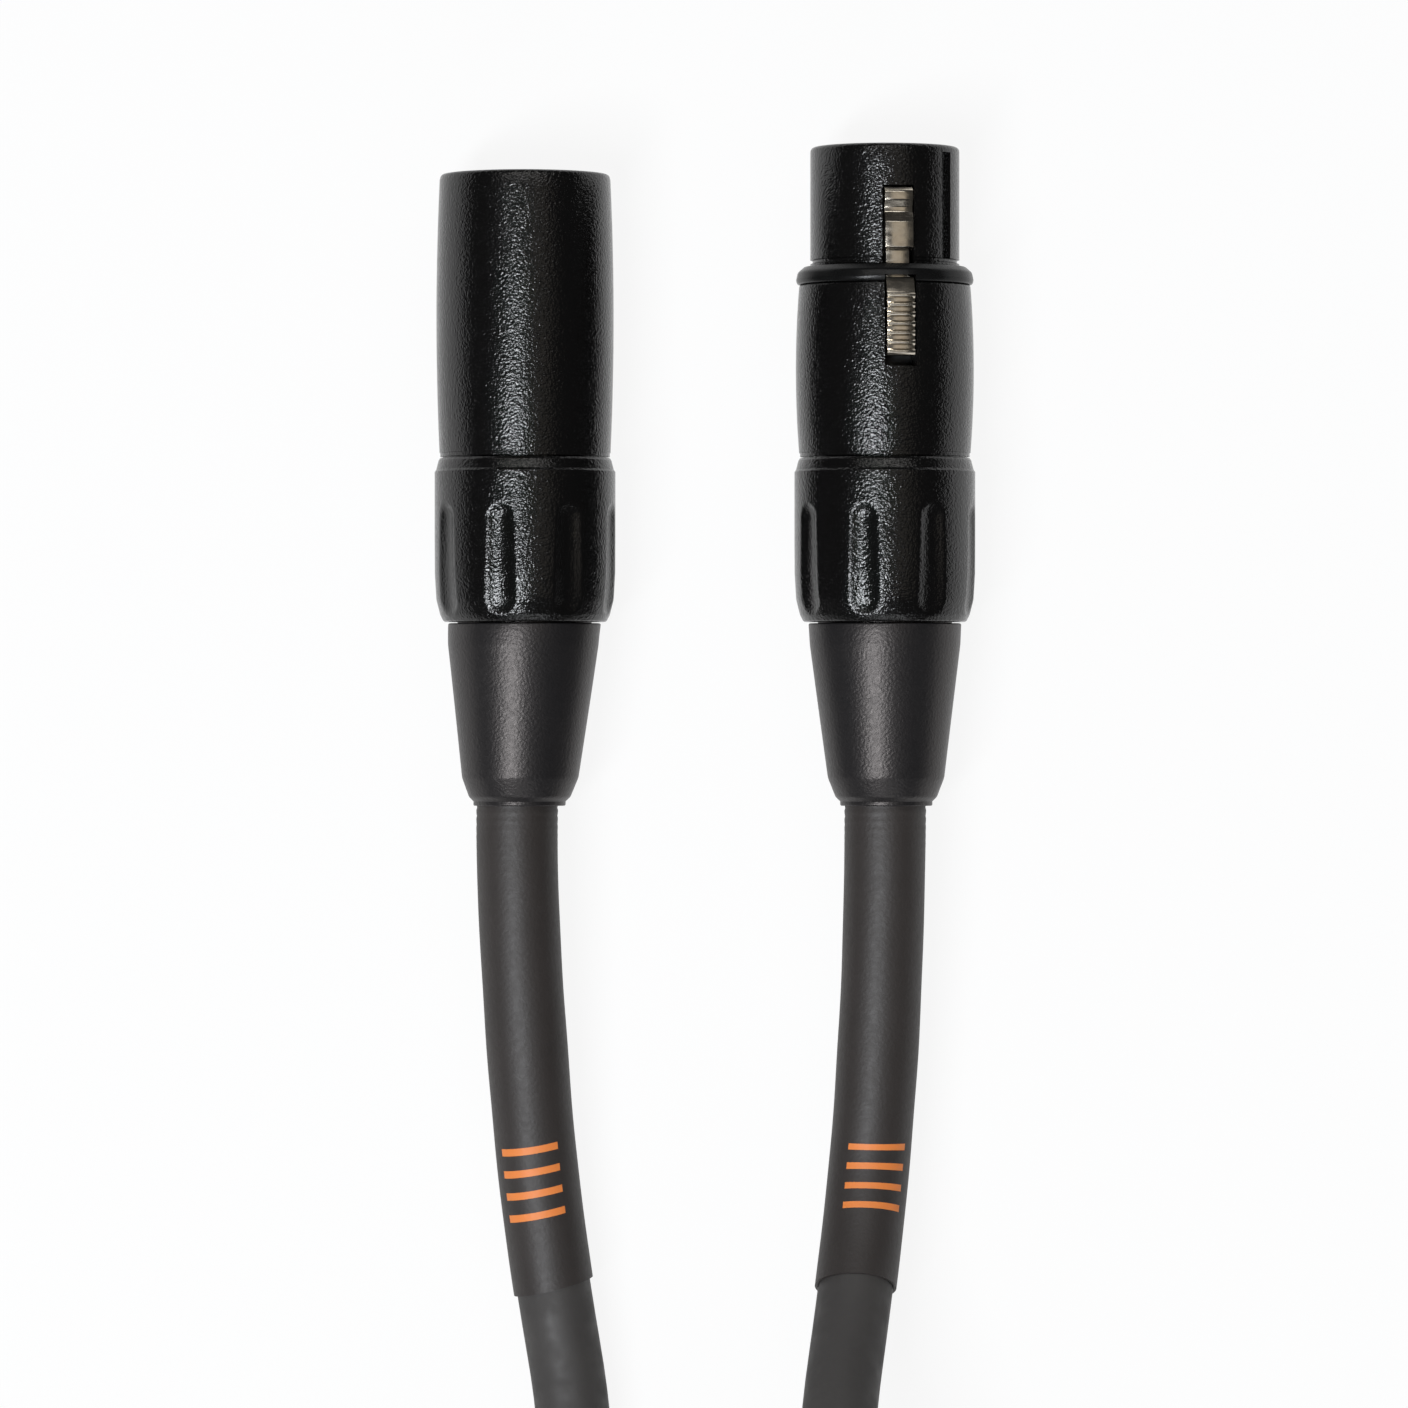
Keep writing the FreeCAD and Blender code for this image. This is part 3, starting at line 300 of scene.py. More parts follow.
def read_line(cord, backwards):
    """The cord's centreline, read from its own spline, from one of its ends."""
    bare = cord.data.copy()
    bare.bevel_depth = 0
    bare.resolution_u = 32
    holder = bpy.data.objects.new("bare_line", bare)
    mesh = bpy.data.meshes.new_from_object(holder)
    points = [vertex.co.copy() for vertex in mesh.vertices]
    bpy.data.objects.remove(holder)
    bpy.data.meshes.remove(mesh)
    bpy.data.curves.remove(bare)
    return points[::-1] if backwards else points


def walk(points, distances):
    """Places and headings at rising distances along the points."""
    found = []
    passed = 0.0
    number = 0
    for distance in distances:
        while passed + (points[number + 1] - points[number]).length < distance:
            passed += (points[number + 1] - points[number]).length
            number += 1
        run = points[number + 1] - points[number]
        found.append((points[number] + run * ((distance - passed) / run.length), run.normalized()))
    return found


def new_mesh_piece(name, vertices, faces, edges=()):
    """A mesh object of its own, selected alone."""
    mesh = bpy.data.meshes.new(name)
    mesh.from_pydata(vertices, edges, faces)
    piece = bpy.data.objects.new(name, mesh)
    bpy.context.collection.objects.link(piece)
    bpy.ops.object.select_all(action="DESELECT")
    piece.select_set(True)
    bpy.context.view_layer.objects.active = piece
    return piece


def sleeve_surface(distance, around, wall_in):
    """How far the tubing stands off the centreline: slight waves, and pleats next to the boot."""
    ripple = math.sin(distance * 410 + 1.3 * math.cos(around))
    waves = WAVE_RISE * ripple * math.cos(around * 2 + distance * 90)
    past_boot = (distance - PLEATS_AT) / PLEAT_PITCH
    pleats = 0.0
    if -1 < past_boot < PLEAT_COUNT:
        pleats = PLEAT_RISE * math.sin(past_boot * math.tau) * math.exp(-max(past_boot, 0) / 2)
    return SLEEVE_RADIUS - wall_in + waves + pleats


def make_sleeve(name, backwards):
    """A tube of tubing round one end of the cord, with a UV map that runs round it and along it."""
    rows = round(SLEEVE_LENGTH / SLEEVE_STEP)
    distances = [SLEEVE_START + SLEEVE_LENGTH * row / rows for row in range(rows + 1)]
    line = walk(read_line(cable, backwards), distances)
    vertices = []
    for wall_in in (0, SLEEVE_WALL):
        for row, (place, heading) in enumerate(line):
            across = heading.cross(Vector((0, 0, 1))).normalized()
            up = across.cross(heading)
            distance = SLEEVE_LENGTH * row / rows
            for column in range(SLEEVE_COLUMNS):
                around = math.tau * column / SLEEVE_COLUMNS
                out = across * math.sin(around) + up * math.cos(around)
                slant = SLANTED_CUT * math.sin(around) * row / rows
                vertices.append(place + out * sleeve_surface(distance, around, wall_in) + heading * slant)
    shell = (rows + 1) * SLEEVE_COLUMNS

    def corner(layer, row, column):
        return layer * shell + row * SLEEVE_COLUMNS + column % SLEEVE_COLUMNS

    faces = []
    for column in range(SLEEVE_COLUMNS):
        for row in range(rows):
            here = [corner(0, row, column), corner(0, row, column + 1)]
            there = [corner(0, row + 1, column + 1), corner(0, row + 1, column)]
            faces.append(here + there)
            faces.append([number + shell for number in reversed(here + there)])
        for row in (0, rows):
            rim = [corner(0, row, column), corner(0, row, column + 1)]
            rim += [corner(1, row, column + 1), corner(1, row, column)]
            faces.append(rim if row else rim[::-1])
    sleeve = new_mesh_piece(name, vertices, faces)
    lay = sleeve.data.uv_layers.new(name="along")
    for face in sleeve.data.polygons:
        columns = [sleeve.data.loops[loop].vertex_index % SLEEVE_COLUMNS for loop in face.loop_indices]
        wraps = max(columns) - min(columns) > 1
        for loop, column in zip(face.loop_indices, columns):
            row = sleeve.data.loops[loop].vertex_index % shell // SLEEVE_COLUMNS
            if wraps and column == 0:
                column = SLEEVE_COLUMNS
            lay.data[loop].uv = (column / SLEEVE_COLUMNS, SLEEVE_LENGTH * row / rows * MAP_SCALE)
    bpy.ops.object.mode_set(mode="EDIT")
    bpy.ops.mesh.select_all(action="SELECT")
    bpy.ops.mesh.normals_make_consistent(inside=False)
    bpy.ops.object.mode_set(mode="OBJECT")
    bpy.ops.object.shade_smooth_by_angle(angle=math.radians(40))
    return sleeve


def near(tree, value, middle, half):
    """1 where a value lies within half of the middle, and 0 elsewhere."""
    compare = tree.nodes.new("ShaderNodeMath")
    compare.operation = "COMPARE"
    tree.links.new(value, compare.inputs[0])
    compare.inputs[1].default_value = middle
    compare.inputs[2].default_value = half
    return compare.outputs[0]


def combine(tree, kind, first, second):
    """The result of one sum on two values."""
    both = tree.nodes.new("ShaderNodeMath")
    both.operation = kind
    tree.links.new(first, both.inputs[0])
    tree.links.new(second, both.inputs[1])
    return both.outputs[0]


def tubing_material(name, ink_turn):
    """Matt brown-black tubing with four orange bars printed across it."""
    material = new_material(name, (0.040, 0.033, 0.031), 0.5)
    tree = material.node_tree
    shader = tree.nodes["Principled BSDF"]
    blotches = add_noise(material, 0.004, 3)
    tubing = vary(material, "Base Color", blotches, (0.026, 0.022, 0.020), (0.034, 0.028, 0.026))
    place = tree.nodes.new("ShaderNodeTexCoord")
    split = tree.nodes.new("ShaderNodeSeparateXYZ")
    tree.links.new(place.outputs["UV"], split.inputs[0])
    turn = tree.nodes.new("ShaderNodeMath")
    turn.operation = "WRAP"
    turn.inputs[1].default_value = 0.5
    turn.inputs[2].default_value = -0.5
    tree.links.new(split.outputs["X"], turn.inputs[0])
    ink = None
    for middle in INK_BARS:
        bar = near(tree, split.outputs["Y"], middle * MAP_SCALE, INK_HALF * MAP_SCALE)
        ink = bar if ink is None else combine(tree, "MAXIMUM", ink, bar)
    ink = combine(tree, "MULTIPLY", ink, near(tree, turn.outputs[0], ink_turn, INK_HALF_TURN))
    printed = tree.nodes.new("ShaderNodeMix")
    printed.data_type = "RGBA"
    tree.links.new(ink, printed.inputs["Factor"])
    tree.links.new(tubing, printed.inputs["A"])
    printed.inputs["B"].default_value = (0.80, 0.235, 0.052, 1)
    tree.links.new(printed.outputs["Result"], shader.inputs["Base Color"])
    vary(material, "Roughness", add_noise(material, 0.0007, 2), 0.52, 0.58)
    add_bump(material, add_noise(material, 0.0004, 1), 0.00003)
    return material


for plug in ("male", "female"):
    sleeve = make_sleeve(f"{plug}_sleeve_tubing", plug == "female")
    sleeve.data.materials.append(tubing_material(f"{plug}_sleeve_tubing", INK_TURN[plug]))
    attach(sleeve, "root")
    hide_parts(f"{plug}_sleeve")

# Tie: a black hook-and-loop strap round the coil's far side. It is one flat band, closed on itself, whose
# free end lies over its start on top of the coil.
STRAP_WIDTH = 0.016
STRAP_THICKNESS = 0.0009
STRAP_CORNER = 0.0034
STRAP_OVERLAP = 0.012
STRAP_CLIMB = 0.004
STRAP_COLUMNS = 12

tie_low, tie_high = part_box("cable_tie")


def strap_line():
    """The strap's middle line in its own plane: once round the coil's section, then on over its own start."""
    half = STRAP_THICKNESS / 2
    near, far = tie_high.y - half, tie_low.y + half
    bottom, top = tie_low.z + half, tie_high.z - half
    corners = [(near, top, 0), (near, bottom, -90), (far, bottom, -180), (far, top, -270)]
    line = [((near + far) / 2, top)]
    for y, z, begin in corners:
        centre_y = y - math.copysign(STRAP_CORNER, y - (near + far) / 2)
        centre_z = z - math.copysign(STRAP_CORNER, z - (top + bottom) / 2)
        for step in range(7):
            angle = math.radians(90 + begin - 15 * step)
            turned_y = centre_y + STRAP_CORNER * math.cos(angle)
            line.append((turned_y, centre_z + STRAP_CORNER * math.sin(angle)))
    lift = STRAP_THICKNESS * 1.05
    line.append(((near + far) / 2 - STRAP_CLIMB, top + lift * 0.25))
    line.append(((near + far) / 2 - 0.0005, top + lift))
    line += [((near + far) / 2 + STRAP_CLIMB * step, top + lift) for step in range(1, 3)]
    line.append(((near + far) / 2 + STRAP_OVERLAP, top + lift * 0.9))
    return line


strap_rows = strap_line()
strap_x = [STRAP_WIDTH * (step / STRAP_COLUMNS - 0.5) for step in range(STRAP_COLUMNS + 1)]
vertices = [(x, y, z) for y, z in strap_rows for x in strap_x]
faces = []
for row in range(len(strap_rows) - 1):
    for column in range(STRAP_COLUMNS):
        first = row * len(strap_x) + column
        faces.append((first, first + 1, first + len(strap_x) + 1, first + len(strap_x)))
tie = new_mesh_piece("tie_strap", vertices, faces)
thicken = tie.modifiers.new("thickness", "SOLIDIFY")
thicken.thickness = STRAP_THICKNESS
thicken.offset = 0
bpy.ops.object.modifier_apply(modifier="thickness")
edge = tie.modifiers.new("edge", "BEVEL")
edge.width = 0.0002
edge.segments = 2
edge.limit_method = "ANGLE"
edge.angle_limit = math.radians(50)
bpy.ops.object.modifier_apply(modifier="edge")
bpy.ops.object.shade_smooth_by_angle(angle=math.radians(40))
fabric = new_material("tie_fabric", (0.02, 0.02, 0.021), 0.95)
vary(fabric, "Base Color", add_noise(fabric, 0.0008, 4), (0.010, 0.010, 0.011), (0.042, 0.042, 0.044))
add_bump(fabric, add_noise(fabric, 0.0009, 3, stretch=(1, 0.5, 0.5)), 0.0002)
add_bump(fabric, add_noise(fabric, 0.00022, 2), 0.00012)
fabric.node_tree.nodes["Principled BSDF"].inputs["Sheen Weight"].default_value = 0.35
tie.data.materials.append(fabric)
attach(tie, "root")
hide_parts("cable_tie")

# Boots: a tapered rubber cone behind each nut, held by a flange inside the nut's lip. The male one is bent
# a little to its left, as the cord pulls it. Sizes from here on are in millimetres from a plug's own joint.
PLUG_SIDE = {"male": -1, "female": 1}
AXIS_SPACING = 0.0386
JOINT_AHEAD = 0.0022
LATCH_ROLL = {"male": 0, "female": 9}
MM = 0.001
BOOT_COLUMNS = 96
BOOT_STEP = 1.2


def plug_frame(plug, roll=0.0):
    """From millimetres about a plug's axis, +Y forwards from the joint of shell and nut, to the frame."""
    low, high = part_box(f"{plug}_boot")
    place = Matrix.Translation((PLUG_SIDE[plug] * AXIS_SPACING / 2, JOINT_AHEAD, (low.z + high.z) / 2))
    return place @ Matrix.Rotation(math.radians(roll), 4, "Y") @ Matrix.Scale(MM, 4)


def rounded(corners, segments=4):
    """The points of a closed outline. A corner's third number is the radius of its rounding."""
    points = []
    for number, corner in enumerate(corners):
        here = Vector(corner[:2])
        if len(corner) == 2:
            points.append(here)
            continue
        back = (Vector(corners[number - 1][:2]) - here).normalized()
        ahead = (Vector(corners[(number + 1) % len(corners)][:2]) - here).normalized()
        half = back.angle(ahead) / 2
        centre = here + (back + ahead).normalized() * (corner[2] / math.sin(half))
        first = here + back * (corner[2] / math.tan(half)) - centre
        last = here + ahead * (corner[2] / math.tan(half)) - centre
        sweep = first.angle_signed(last)
        for step in range(segments + 1):
            points.append(centre + Matrix.Rotation(-sweep * step / segments, 2) @ first)
    return points


def spin_piece(name, outline, columns, phase=0.0):
    """Turns a closed outline (radius, place along) round the Y axis, as on a lathe."""
    vertices = [(point[0], point[1], 0) for point in outline]
    edges = [(number, (number + 1) % len(vertices)) for number in range(len(vertices))]
    piece = new_mesh_piece(name, vertices, [], edges)
    piece.data.transform(Matrix.Rotation(phase, 4, "Y"))
    bpy.ops.object.mode_set(mode="EDIT")
    bpy.ops.mesh.select_all(action="SELECT")
    bpy.ops.mesh.spin(steps=columns, angle=math.tau, center=(0, 0, 0), axis=(0, 1, 0))
    bpy.ops.mesh.select_all(action="SELECT")
    bpy.ops.mesh.remove_doubles(threshold=0.0005)
    bpy.ops.mesh.normals_make_consistent(inside=False)
    bpy.ops.object.mode_set(mode="OBJECT")
    return piece


def finish_piece(piece, place, smooth_angle=35):
    """Shades a piece that is modelled in a plug's frame, and puts it there."""
    bpy.ops.object.select_all(action="DESELECT")
    piece.select_set(True)
    bpy.context.view_layer.objects.active = piece
    bpy.ops.object.shade_smooth_by_angle(angle=math.radians(smooth_angle))
    piece.data.transform(place)


def divide(outline, step, outer_step=None, outer_radius=0.0):
    """A closed outline with points put in, about a step apart, or an outer step beyond a radius."""
    rows = []
    for before, after in zip(outline, outline[1:] + outline[:1]):
        outer = outer_step is not None and min(before[0], after[0]) > outer_radius
        length = (Vector(after) - Vector(before)).length
        parts = max(round(length / (outer_step if outer else step)), 1)
        rows += [Vector(before).lerp(Vector(after), part / parts) for part in range(parts)]
    return rows


boot_outline = rounded(
    [
        (4.75, -37.4, 0.12),
        (4.95, -37.4, 0.15),
        (4.95, -36.95),
        (5.45, -36.45, 0.8),
        (6.25, -34.4, 2.2),
        (8.08, -20.15, 4.0),
        (8.20, -17.85, 0.18),
        (7.20, -17.85),
        (7.20, -16.65),
        (7.90, -16.65, 0.12),
        (7.90, -15.65, 0.12),
        (6.30, -15.65),
        (6.30, -20.15),
        (4.75, -30.65),
    ],
    5,
)
BOOT_LEAN = {"male": (-0.15, -0.45), "female": (0.02, 0.14)}
BOOT_FRONT = -17.0
BOOT_REAR = -37.4


def lean(plug, along):
    """How far a boot's middle has moved sideways at a place along it."""
    start, more = BOOT_LEAN[plug]
    share = min(max((BOOT_FRONT - along) / (BOOT_FRONT - BOOT_REAR), 0.0), 1.0)
    return start * min(share * 8, 1.0) + more * share ** 1.3


rubber = new_material("boot_rubber", (0.012, 0.012, 0.013), 0.42)
rubber.node_tree.nodes["Principled BSDF"].inputs["Specular Tint"].default_value = (1.0, 0.92, 0.88, 1)
vary(rubber, "Roughness", add_noise(rubber, 0.0005, 2), 0.38, 0.44)
vary(rubber, "Base Color", add_noise(rubber, 0.005, 2), (0.010, 0.010, 0.011), (0.015, 0.014, 0.015))
add_bump(rubber, add_noise(rubber, 0.00030, 1), 0.00004)

for plug in ("male", "female"):
    boot = spin_piece(f"{plug}_boot_rubber", divide(boot_outline, BOOT_STEP), BOOT_COLUMNS)
    for vertex in boot.data.vertices:
        vertex.co.x += lean(plug, vertex.co.y)
    finish_piece(boot, plug_frame(plug))
    boot.data.materials.append(rubber)
    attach(boot, f"{plug}_boot")
    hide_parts(f"{plug}_boot")

# Back nuts: die-cast and painted gloss black, with a stepped rim in front, a well rounded rear edge and
# eight shallow grip flutes, round at both ends and a little wider behind.
NUT_ROLL = -14.5
NUT_RADIUS = 9.7
NUT_COLUMNS = 512
NUT_STEP = 4.0
NUT_OUTER_STEP = 0.22
NUT_OUTER_RADIUS = 8.6
NUT_FLUTED_RADIUS = 8.3
NUT_SMOOTH_ANGLE = 50
FLUTES = 8
FLUTE_FRONT = -6.6
FLUTE_REAR = -15.25
FLUTE_HALVES = (1.45, 1.68)
FLUTE_DEPTH = 0.46
RIM_SOFTNESS = 0.16


def fluted(radius, along, angle):
    """The nut's surface at an angle: the lower of its round side and the nearest flute's floor, blended."""
    pitch = math.tau / FLUTES
    off = radius * ((angle + pitch / 2) % pitch - pitch / 2)
    beyond = max(along - FLUTE_FRONT, FLUTE_REAR - along, 0.0)
    back = min(max((FLUTE_FRONT - along) / (FLUTE_FRONT - FLUTE_REAR), 0.0), 1.0)
    half = FLUTE_HALVES[0] + (FLUTE_HALVES[1] - FLUTE_HALVES[0]) * back
    floor = radius - FLUTE_DEPTH * (1 - (off * off + beyond * beyond) / half ** 2)
    softened = max(RIM_SOFTNESS - abs(radius - floor), 0.0) ** 2 / (4 * RIM_SOFTNESS)
    return min(radius, floor) - softened


nut_outline = rounded(
    [
        (7.35, -17.7, 0.15),
        (8.72, -17.7, 0.35),
        (9.10, -16.95, 1.2),
        (9.52, -15.3, 3.0),
        (9.68, -12.5),
        (NUT_RADIUS, -8.8),
        (NUT_RADIUS, -1.62, 0.12),
        (9.53, -1.38, 0.08),
        (9.28, -0.40, 0.10),
        (9.12, -0.15, 0.08),
        (8.05, -0.15),
        (8.05, -16.8),
        (7.35, -16.8),
    ],
    4,
)


def paint_material(name):
    """Gloss black paint with fine orange peel."""
    material = new_material(name, (0.0035, 0.0033, 0.0033), 0.2)
    material.node_tree.nodes["Principled BSDF"].inputs["IOR"].default_value = 1.48
    vary(material, "Roughness", add_noise(material, 0.0012, 3), 0.17, 0.22)
    add_bump(material, add_noise(material, 0.00030, 1), 0.00006)
    add_bump(material, add_noise(material, 0.00015, 0), 0.000012)
    return material


nut_paint = paint_material("nut_paint")
for plug in ("male", "female"):
    rows = divide(nut_outline, NUT_STEP, NUT_OUTER_STEP, NUT_OUTER_RADIUS)
    nut = spin_piece(f"{plug}_fluted_nut", rows, NUT_COLUMNS)
    for vertex in nut.data.vertices:
        radius = math.hypot(vertex.co.x, vertex.co.z)
        if radius > NUT_FLUTED_RADIUS:
            angle = math.atan2(vertex.co.z, vertex.co.x)
            share = fluted(radius, vertex.co.y, angle) / radius
            vertex.co.x *= share
            vertex.co.z *= share
    finish_piece(nut, plug_frame(plug, NUT_ROLL), NUT_SMOOTH_ANGLE)
    nut.data.materials.append(nut_paint)
    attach(nut, f"{plug}_nut")
    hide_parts(f"{plug}_back_nut")

# Male shell: a die-cast barrel painted like the nut, open in front round the pins, with a threaded spigot
# behind. Inside are a key for the other plug's keyway and a pocket for its latch.
SHELL_COLUMNS = 128
SEAM_TURN = math.pi / SHELL_COLUMNS
SPIGOT_STEPS = 64
SPIGOT_BORE = 6.4
JOINT_RADIUS = 9.1
THREAD_PITCH = 1.0
THREAD_DEPTH = 0.45
THREAD_RADIUS = 7.9
THREAD_LENGTH = 8.0
BARREL_TIP = 30.3
KEY_ANGLE = 45.0


def spigot_rows():
    """Points close enough along the spigot for a thread to be raised on them."""
    return [(THREAD_RADIUS, -THREAD_LENGTH * (1 - step / SPIGOT_STEPS)) for step in range(SPIGOT_STEPS)]


def bow(begin, end, middle, rise, count):
    """Points of a side that bulges by a rise in its middle, from a beginning to an end."""
    points = []
    for step in range(count + 1):
        along = begin[1] + (end[1] - begin[1]) * step / count
        away = (along - middle) / max(middle - begin[1], end[1] - middle)
        straight = begin[0] + (end[0] - begin[0]) * step / count
        points.append((straight + rise * (1 - away * away), along))
    return points


def raise_thread(piece):
    """Sinks a round-bottomed screw groove into the spigot."""
    for vertex in piece.data.vertices:
        radius = math.hypot(vertex.co.x, vertex.co.z)
        if abs(radius - THREAD_RADIUS) > 0.01 or not -THREAD_LENGTH <= vertex.co.y < -0.2:
            continue
        turn = math.atan2(vertex.co.z, vertex.co.x) / math.tau
        wave = 0.5 - 0.5 * math.cos((vertex.co.y / THREAD_PITCH + turn) * math.tau)
        share = 1 - THREAD_DEPTH * wave / radius
        vertex.co.x *= share
        vertex.co.z *= share


def cut_box(piece, low, high, turned=0.0, kind="DIFFERENCE"):
    """Cuts a box out of a piece, or adds it, in the plug's frame turned round its axis."""
    bpy.ops.mesh.primitive_cube_add(size=1)
    block = bpy.context.object
    low, high = Vector(low), Vector(high)
    sizes = high - low
    place = Matrix.Translation((low + high) / 2) @ Matrix.Diagonal((*sizes, 1))
    block.data.transform(Matrix.Rotation(math.radians(turned), 4, "Y") @ place)
    use_cutter(piece, block, kind)


def use_cutter(piece, cutter, kind="DIFFERENCE"):
    """Cuts a piece by another one, or joins them, and takes the other one away."""
    bpy.ops.object.select_all(action="DESELECT")
    piece.select_set(True)
    bpy.context.view_layer.objects.active = piece
    cut = piece.modifiers.new("cut", "BOOLEAN")
    cut.operation = kind
    cut.solver = "EXACT"
    cut.object = cutter
    bpy.ops.object.modifier_apply(modifier="cut")
    bpy.data.objects.remove(cutter)


shell_paint = paint_material("shell_paint")
male_outline = [(SPIGOT_BORE, -THREAD_LENGTH)] + spigot_rows()
male_outline += [(THREAD_RADIUS, 0), (JOINT_RADIUS, 0), (JOINT_RADIUS, 0.38)]
male_outline += bow((9.18, 0.42), (9.12, 29.7), 15.5, 0.36, 22)
male_outline += rounded([(9.12, 29.7), (9.1, BARREL_TIP, 0.45), (8.35, BARREL_TIP)], 5)[1:]
male_outline += [(8.15, BARREL_TIP - 0.2), (8.15, 17.0), (8.15, 5.0), (SPIGOT_BORE, 5.0)]
male_shell = spin_piece("male_barrel", male_outline, SHELL_COLUMNS, SEAM_TURN)
raise_thread(male_shell)
cut_box(male_shell, (-1.95, 24.9, 7.0), (1.95, 28.7, 8.85))
cut_box(male_shell, (-0.5, 17.0, 7.65), (0.5, 28.7, 8.5), -KEY_ANGLE, "UNION")
finish_piece(male_shell, plug_frame("male"))
male_shell.data.materials.append(shell_paint)
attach(male_shell, "root")
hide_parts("male_shell")

# Female shell: the same casting with a nose that enters the other plug. The latch shows in a window from
# nose to body, and a keyway runs along the nose.
WINDOW_HALF = 1.7
WINDOW_REAR = 9.4
WINDOW_FRONT = 28.7
NOSE_TIP = 33.2
female_outline = [(SPIGOT_BORE, -THREAD_LENGTH)] + spigot_rows()
female_outline += [(THREAD_RADIUS, 0), (JOINT_RADIUS, 0), (JOINT_RADIUS, 0.38)]
female_outline += bow((9.2, 0.42), (9.2, 18.1), 9.3, 0.35, 18)
female_outline += rounded([(9.2, 18.1), (9.18, 18.4, 0.2), (8.0, 18.4)], 3)[1:-1]
female_outline += [(8.0, 18.4), (8.0, 20.65), (7.75, 20.75), (7.75, 21.0), (8.0, 21.1)]
female_outline += [(8.0, 21.1 + 1.4 * step) for step in range(1, 8)]
female_outline += rounded([(8.0, 31.0), (8.0, NOSE_TIP, 0.5), (7.25, NOSE_TIP)], 5)[1:]
female_outline += [(7.1, NOSE_TIP - 0.15), (7.1, 8.0), (SPIGOT_BORE, 8.0)]
female_shell = spin_piece("female_nose_and_body", female_outline, SHELL_COLUMNS, SEAM_TURN)
raise_thread(female_shell)
cut_box(female_shell, (-WINDOW_HALF, WINDOW_REAR, 5.5), (WINDOW_HALF, WINDOW_FRONT, 11))
cut_box(female_shell, (-0.8, 21.05, 7.4), (0.8, 32.4, 11), KEY_ANGLE)
finish_piece(female_shell, plug_frame("female", LATCH_ROLL["female"]))
female_shell.data.materials.append(shell_paint)
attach(female_shell, "root")
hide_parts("female_shell")

# Collar ring: a soft black rubber ring between the nose and the body, rounded in front, with a notch for
# the latch's button. It cushions the joint of two plugs.
ring_outline = rounded(
    [
        (8.05, 18.45),
        (9.40, 18.45, 0.3),
        (9.52, 18.95, 0.3),
        (9.35, 19.75, 0.6),
        (8.65, 20.35, 0.25),
        (8.05, 20.35),
    ],
    5,
)
ring = spin_piece("collar_ring", ring_outline, SHELL_COLUMNS, SEAM_TURN)
cut_box(ring, (-WINDOW_HALF, 18.0, 7), (WINDOW_HALF, 19.1, 11))
finish_piece(ring, plug_frame("female", LATCH_ROLL["female"]))
ring_rubber = new_material("ring_rubber", (0.006, 0.006, 0.006), 0.34)
ring_rubber.node_tree.nodes["Principled BSDF"].inputs["IOR"].default_value = 1.28
vary(ring_rubber, "Roughness", add_noise(ring_rubber, 0.0011, 3), 0.24, 0.32)
add_bump(ring_rubber, add_noise(ring_rubber, 0.0004, 2), 0.00001)
ring.data.materials.append(ring_rubber)
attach(ring, "root")
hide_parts("female_collar_ring")

# Latch: one nickel-plated lever on a steel pin. Its hook has a hump, a valley and a plateau, and its
# button has seven ridges. A leaf spring under it pushes it out.
LATCH_HALF = 1.5
NECK_HALF = 1.25
PIVOT = (27.7, 5.9)
RIDGES = 7
RIDGE_PITCH = 1.0
RIDGES_REAR = 10.5
RIDGE_FOOT = 9.56
RIDGE_TOP = 9.98


def extrude_side(name, outline, half, edge_width):
    """A bar whose side view is an outline (place along, height), with its edges broken by a small bevel."""
    vertices = [(-half, along, height) for along, height in outline]
    bar = new_mesh_piece(name, vertices, [tuple(range(len(vertices)))])
    bpy.ops.object.mode_set(mode="EDIT")
    bpy.ops.mesh.select_all(action="SELECT")
    bpy.ops.mesh.extrude_region_move(TRANSFORM_OT_translate={"value": (2 * half, 0, 0)})
    bpy.ops.mesh.select_all(action="SELECT")
    bpy.ops.mesh.normals_make_consistent(inside=False)
    bpy.ops.object.mode_set(mode="OBJECT")
    broken = bar.modifiers.new("edges", "BEVEL")
    broken.width = edge_width
    broken.segments = 2
    broken.limit_method = "ANGLE"
    broken.angle_limit = math.radians(60)
    bpy.ops.object.modifier_apply(modifier="edges")
    return bar


def drill_pivot(piece, radius, length):
    """Drills the latch pin's hole, across a piece that is modelled in the female plug's frame."""
    across = (0, math.radians(90), 0)
    bpy.ops.mesh.primitive_cylinder_add(vertices=32, radius=radius, depth=length, rotation=across)
    hole = bpy.context.object
    hole.data.transform(Matrix.Translation((0, *PIVOT)) @ hole.matrix_world)
    hole.matrix_world = Matrix.Identity(4)
    use_cutter(piece, hole)


hook_outline = rounded(
    [
        (28.5, 5.0, 0.3),
        (28.5, 7.95, 0.35),
        (28.05, 8.45, 0.35),
        (27.1, 8.45, 0.6),
        (26.35, 8.08, 0.35),
        (25.8, 8.10, 0.35),
        (25.25, 8.48, 0.3),
        (24.75, 8.75, 0.25),
        (22.05, 8.75, 0.12),
        (21.7, 7.6),
        (21.7, 6.9),
        (26.9, 6.9, 0.3),
        (26.9, 5.0, 0.3),
    ],
    5,
)
latch = extrude_side("latch_lever", hook_outline, LATCH_HALF, 0.03)
neck = extrude_side("neck", [(18.55, 6.9), (18.55, 7.6), (22.0, 7.6), (22.0, 6.9)], NECK_HALF, 0.05)
button_outline = rounded(
    [(18.85, 6.9), (18.85, 9.0, 0.15), (18.2, 9.25, 0.3), (17.3, 9.6, 0.2), (17.0, 9.7)],
    3,
)
for number in reversed(range(RIDGES)):
    rear = RIDGES_REAR + RIDGE_PITCH * number
    ridge = [(rear + 0.74, RIDGE_FOOT), (rear + 0.42, RIDGE_TOP, 0.2), (rear + 0.06, RIDGE_FOOT)]
    button_outline += rounded([(rear + 0.8, RIDGE_FOOT)] + ridge + [(rear - 0.1, RIDGE_FOOT)], 4)[1:-1]
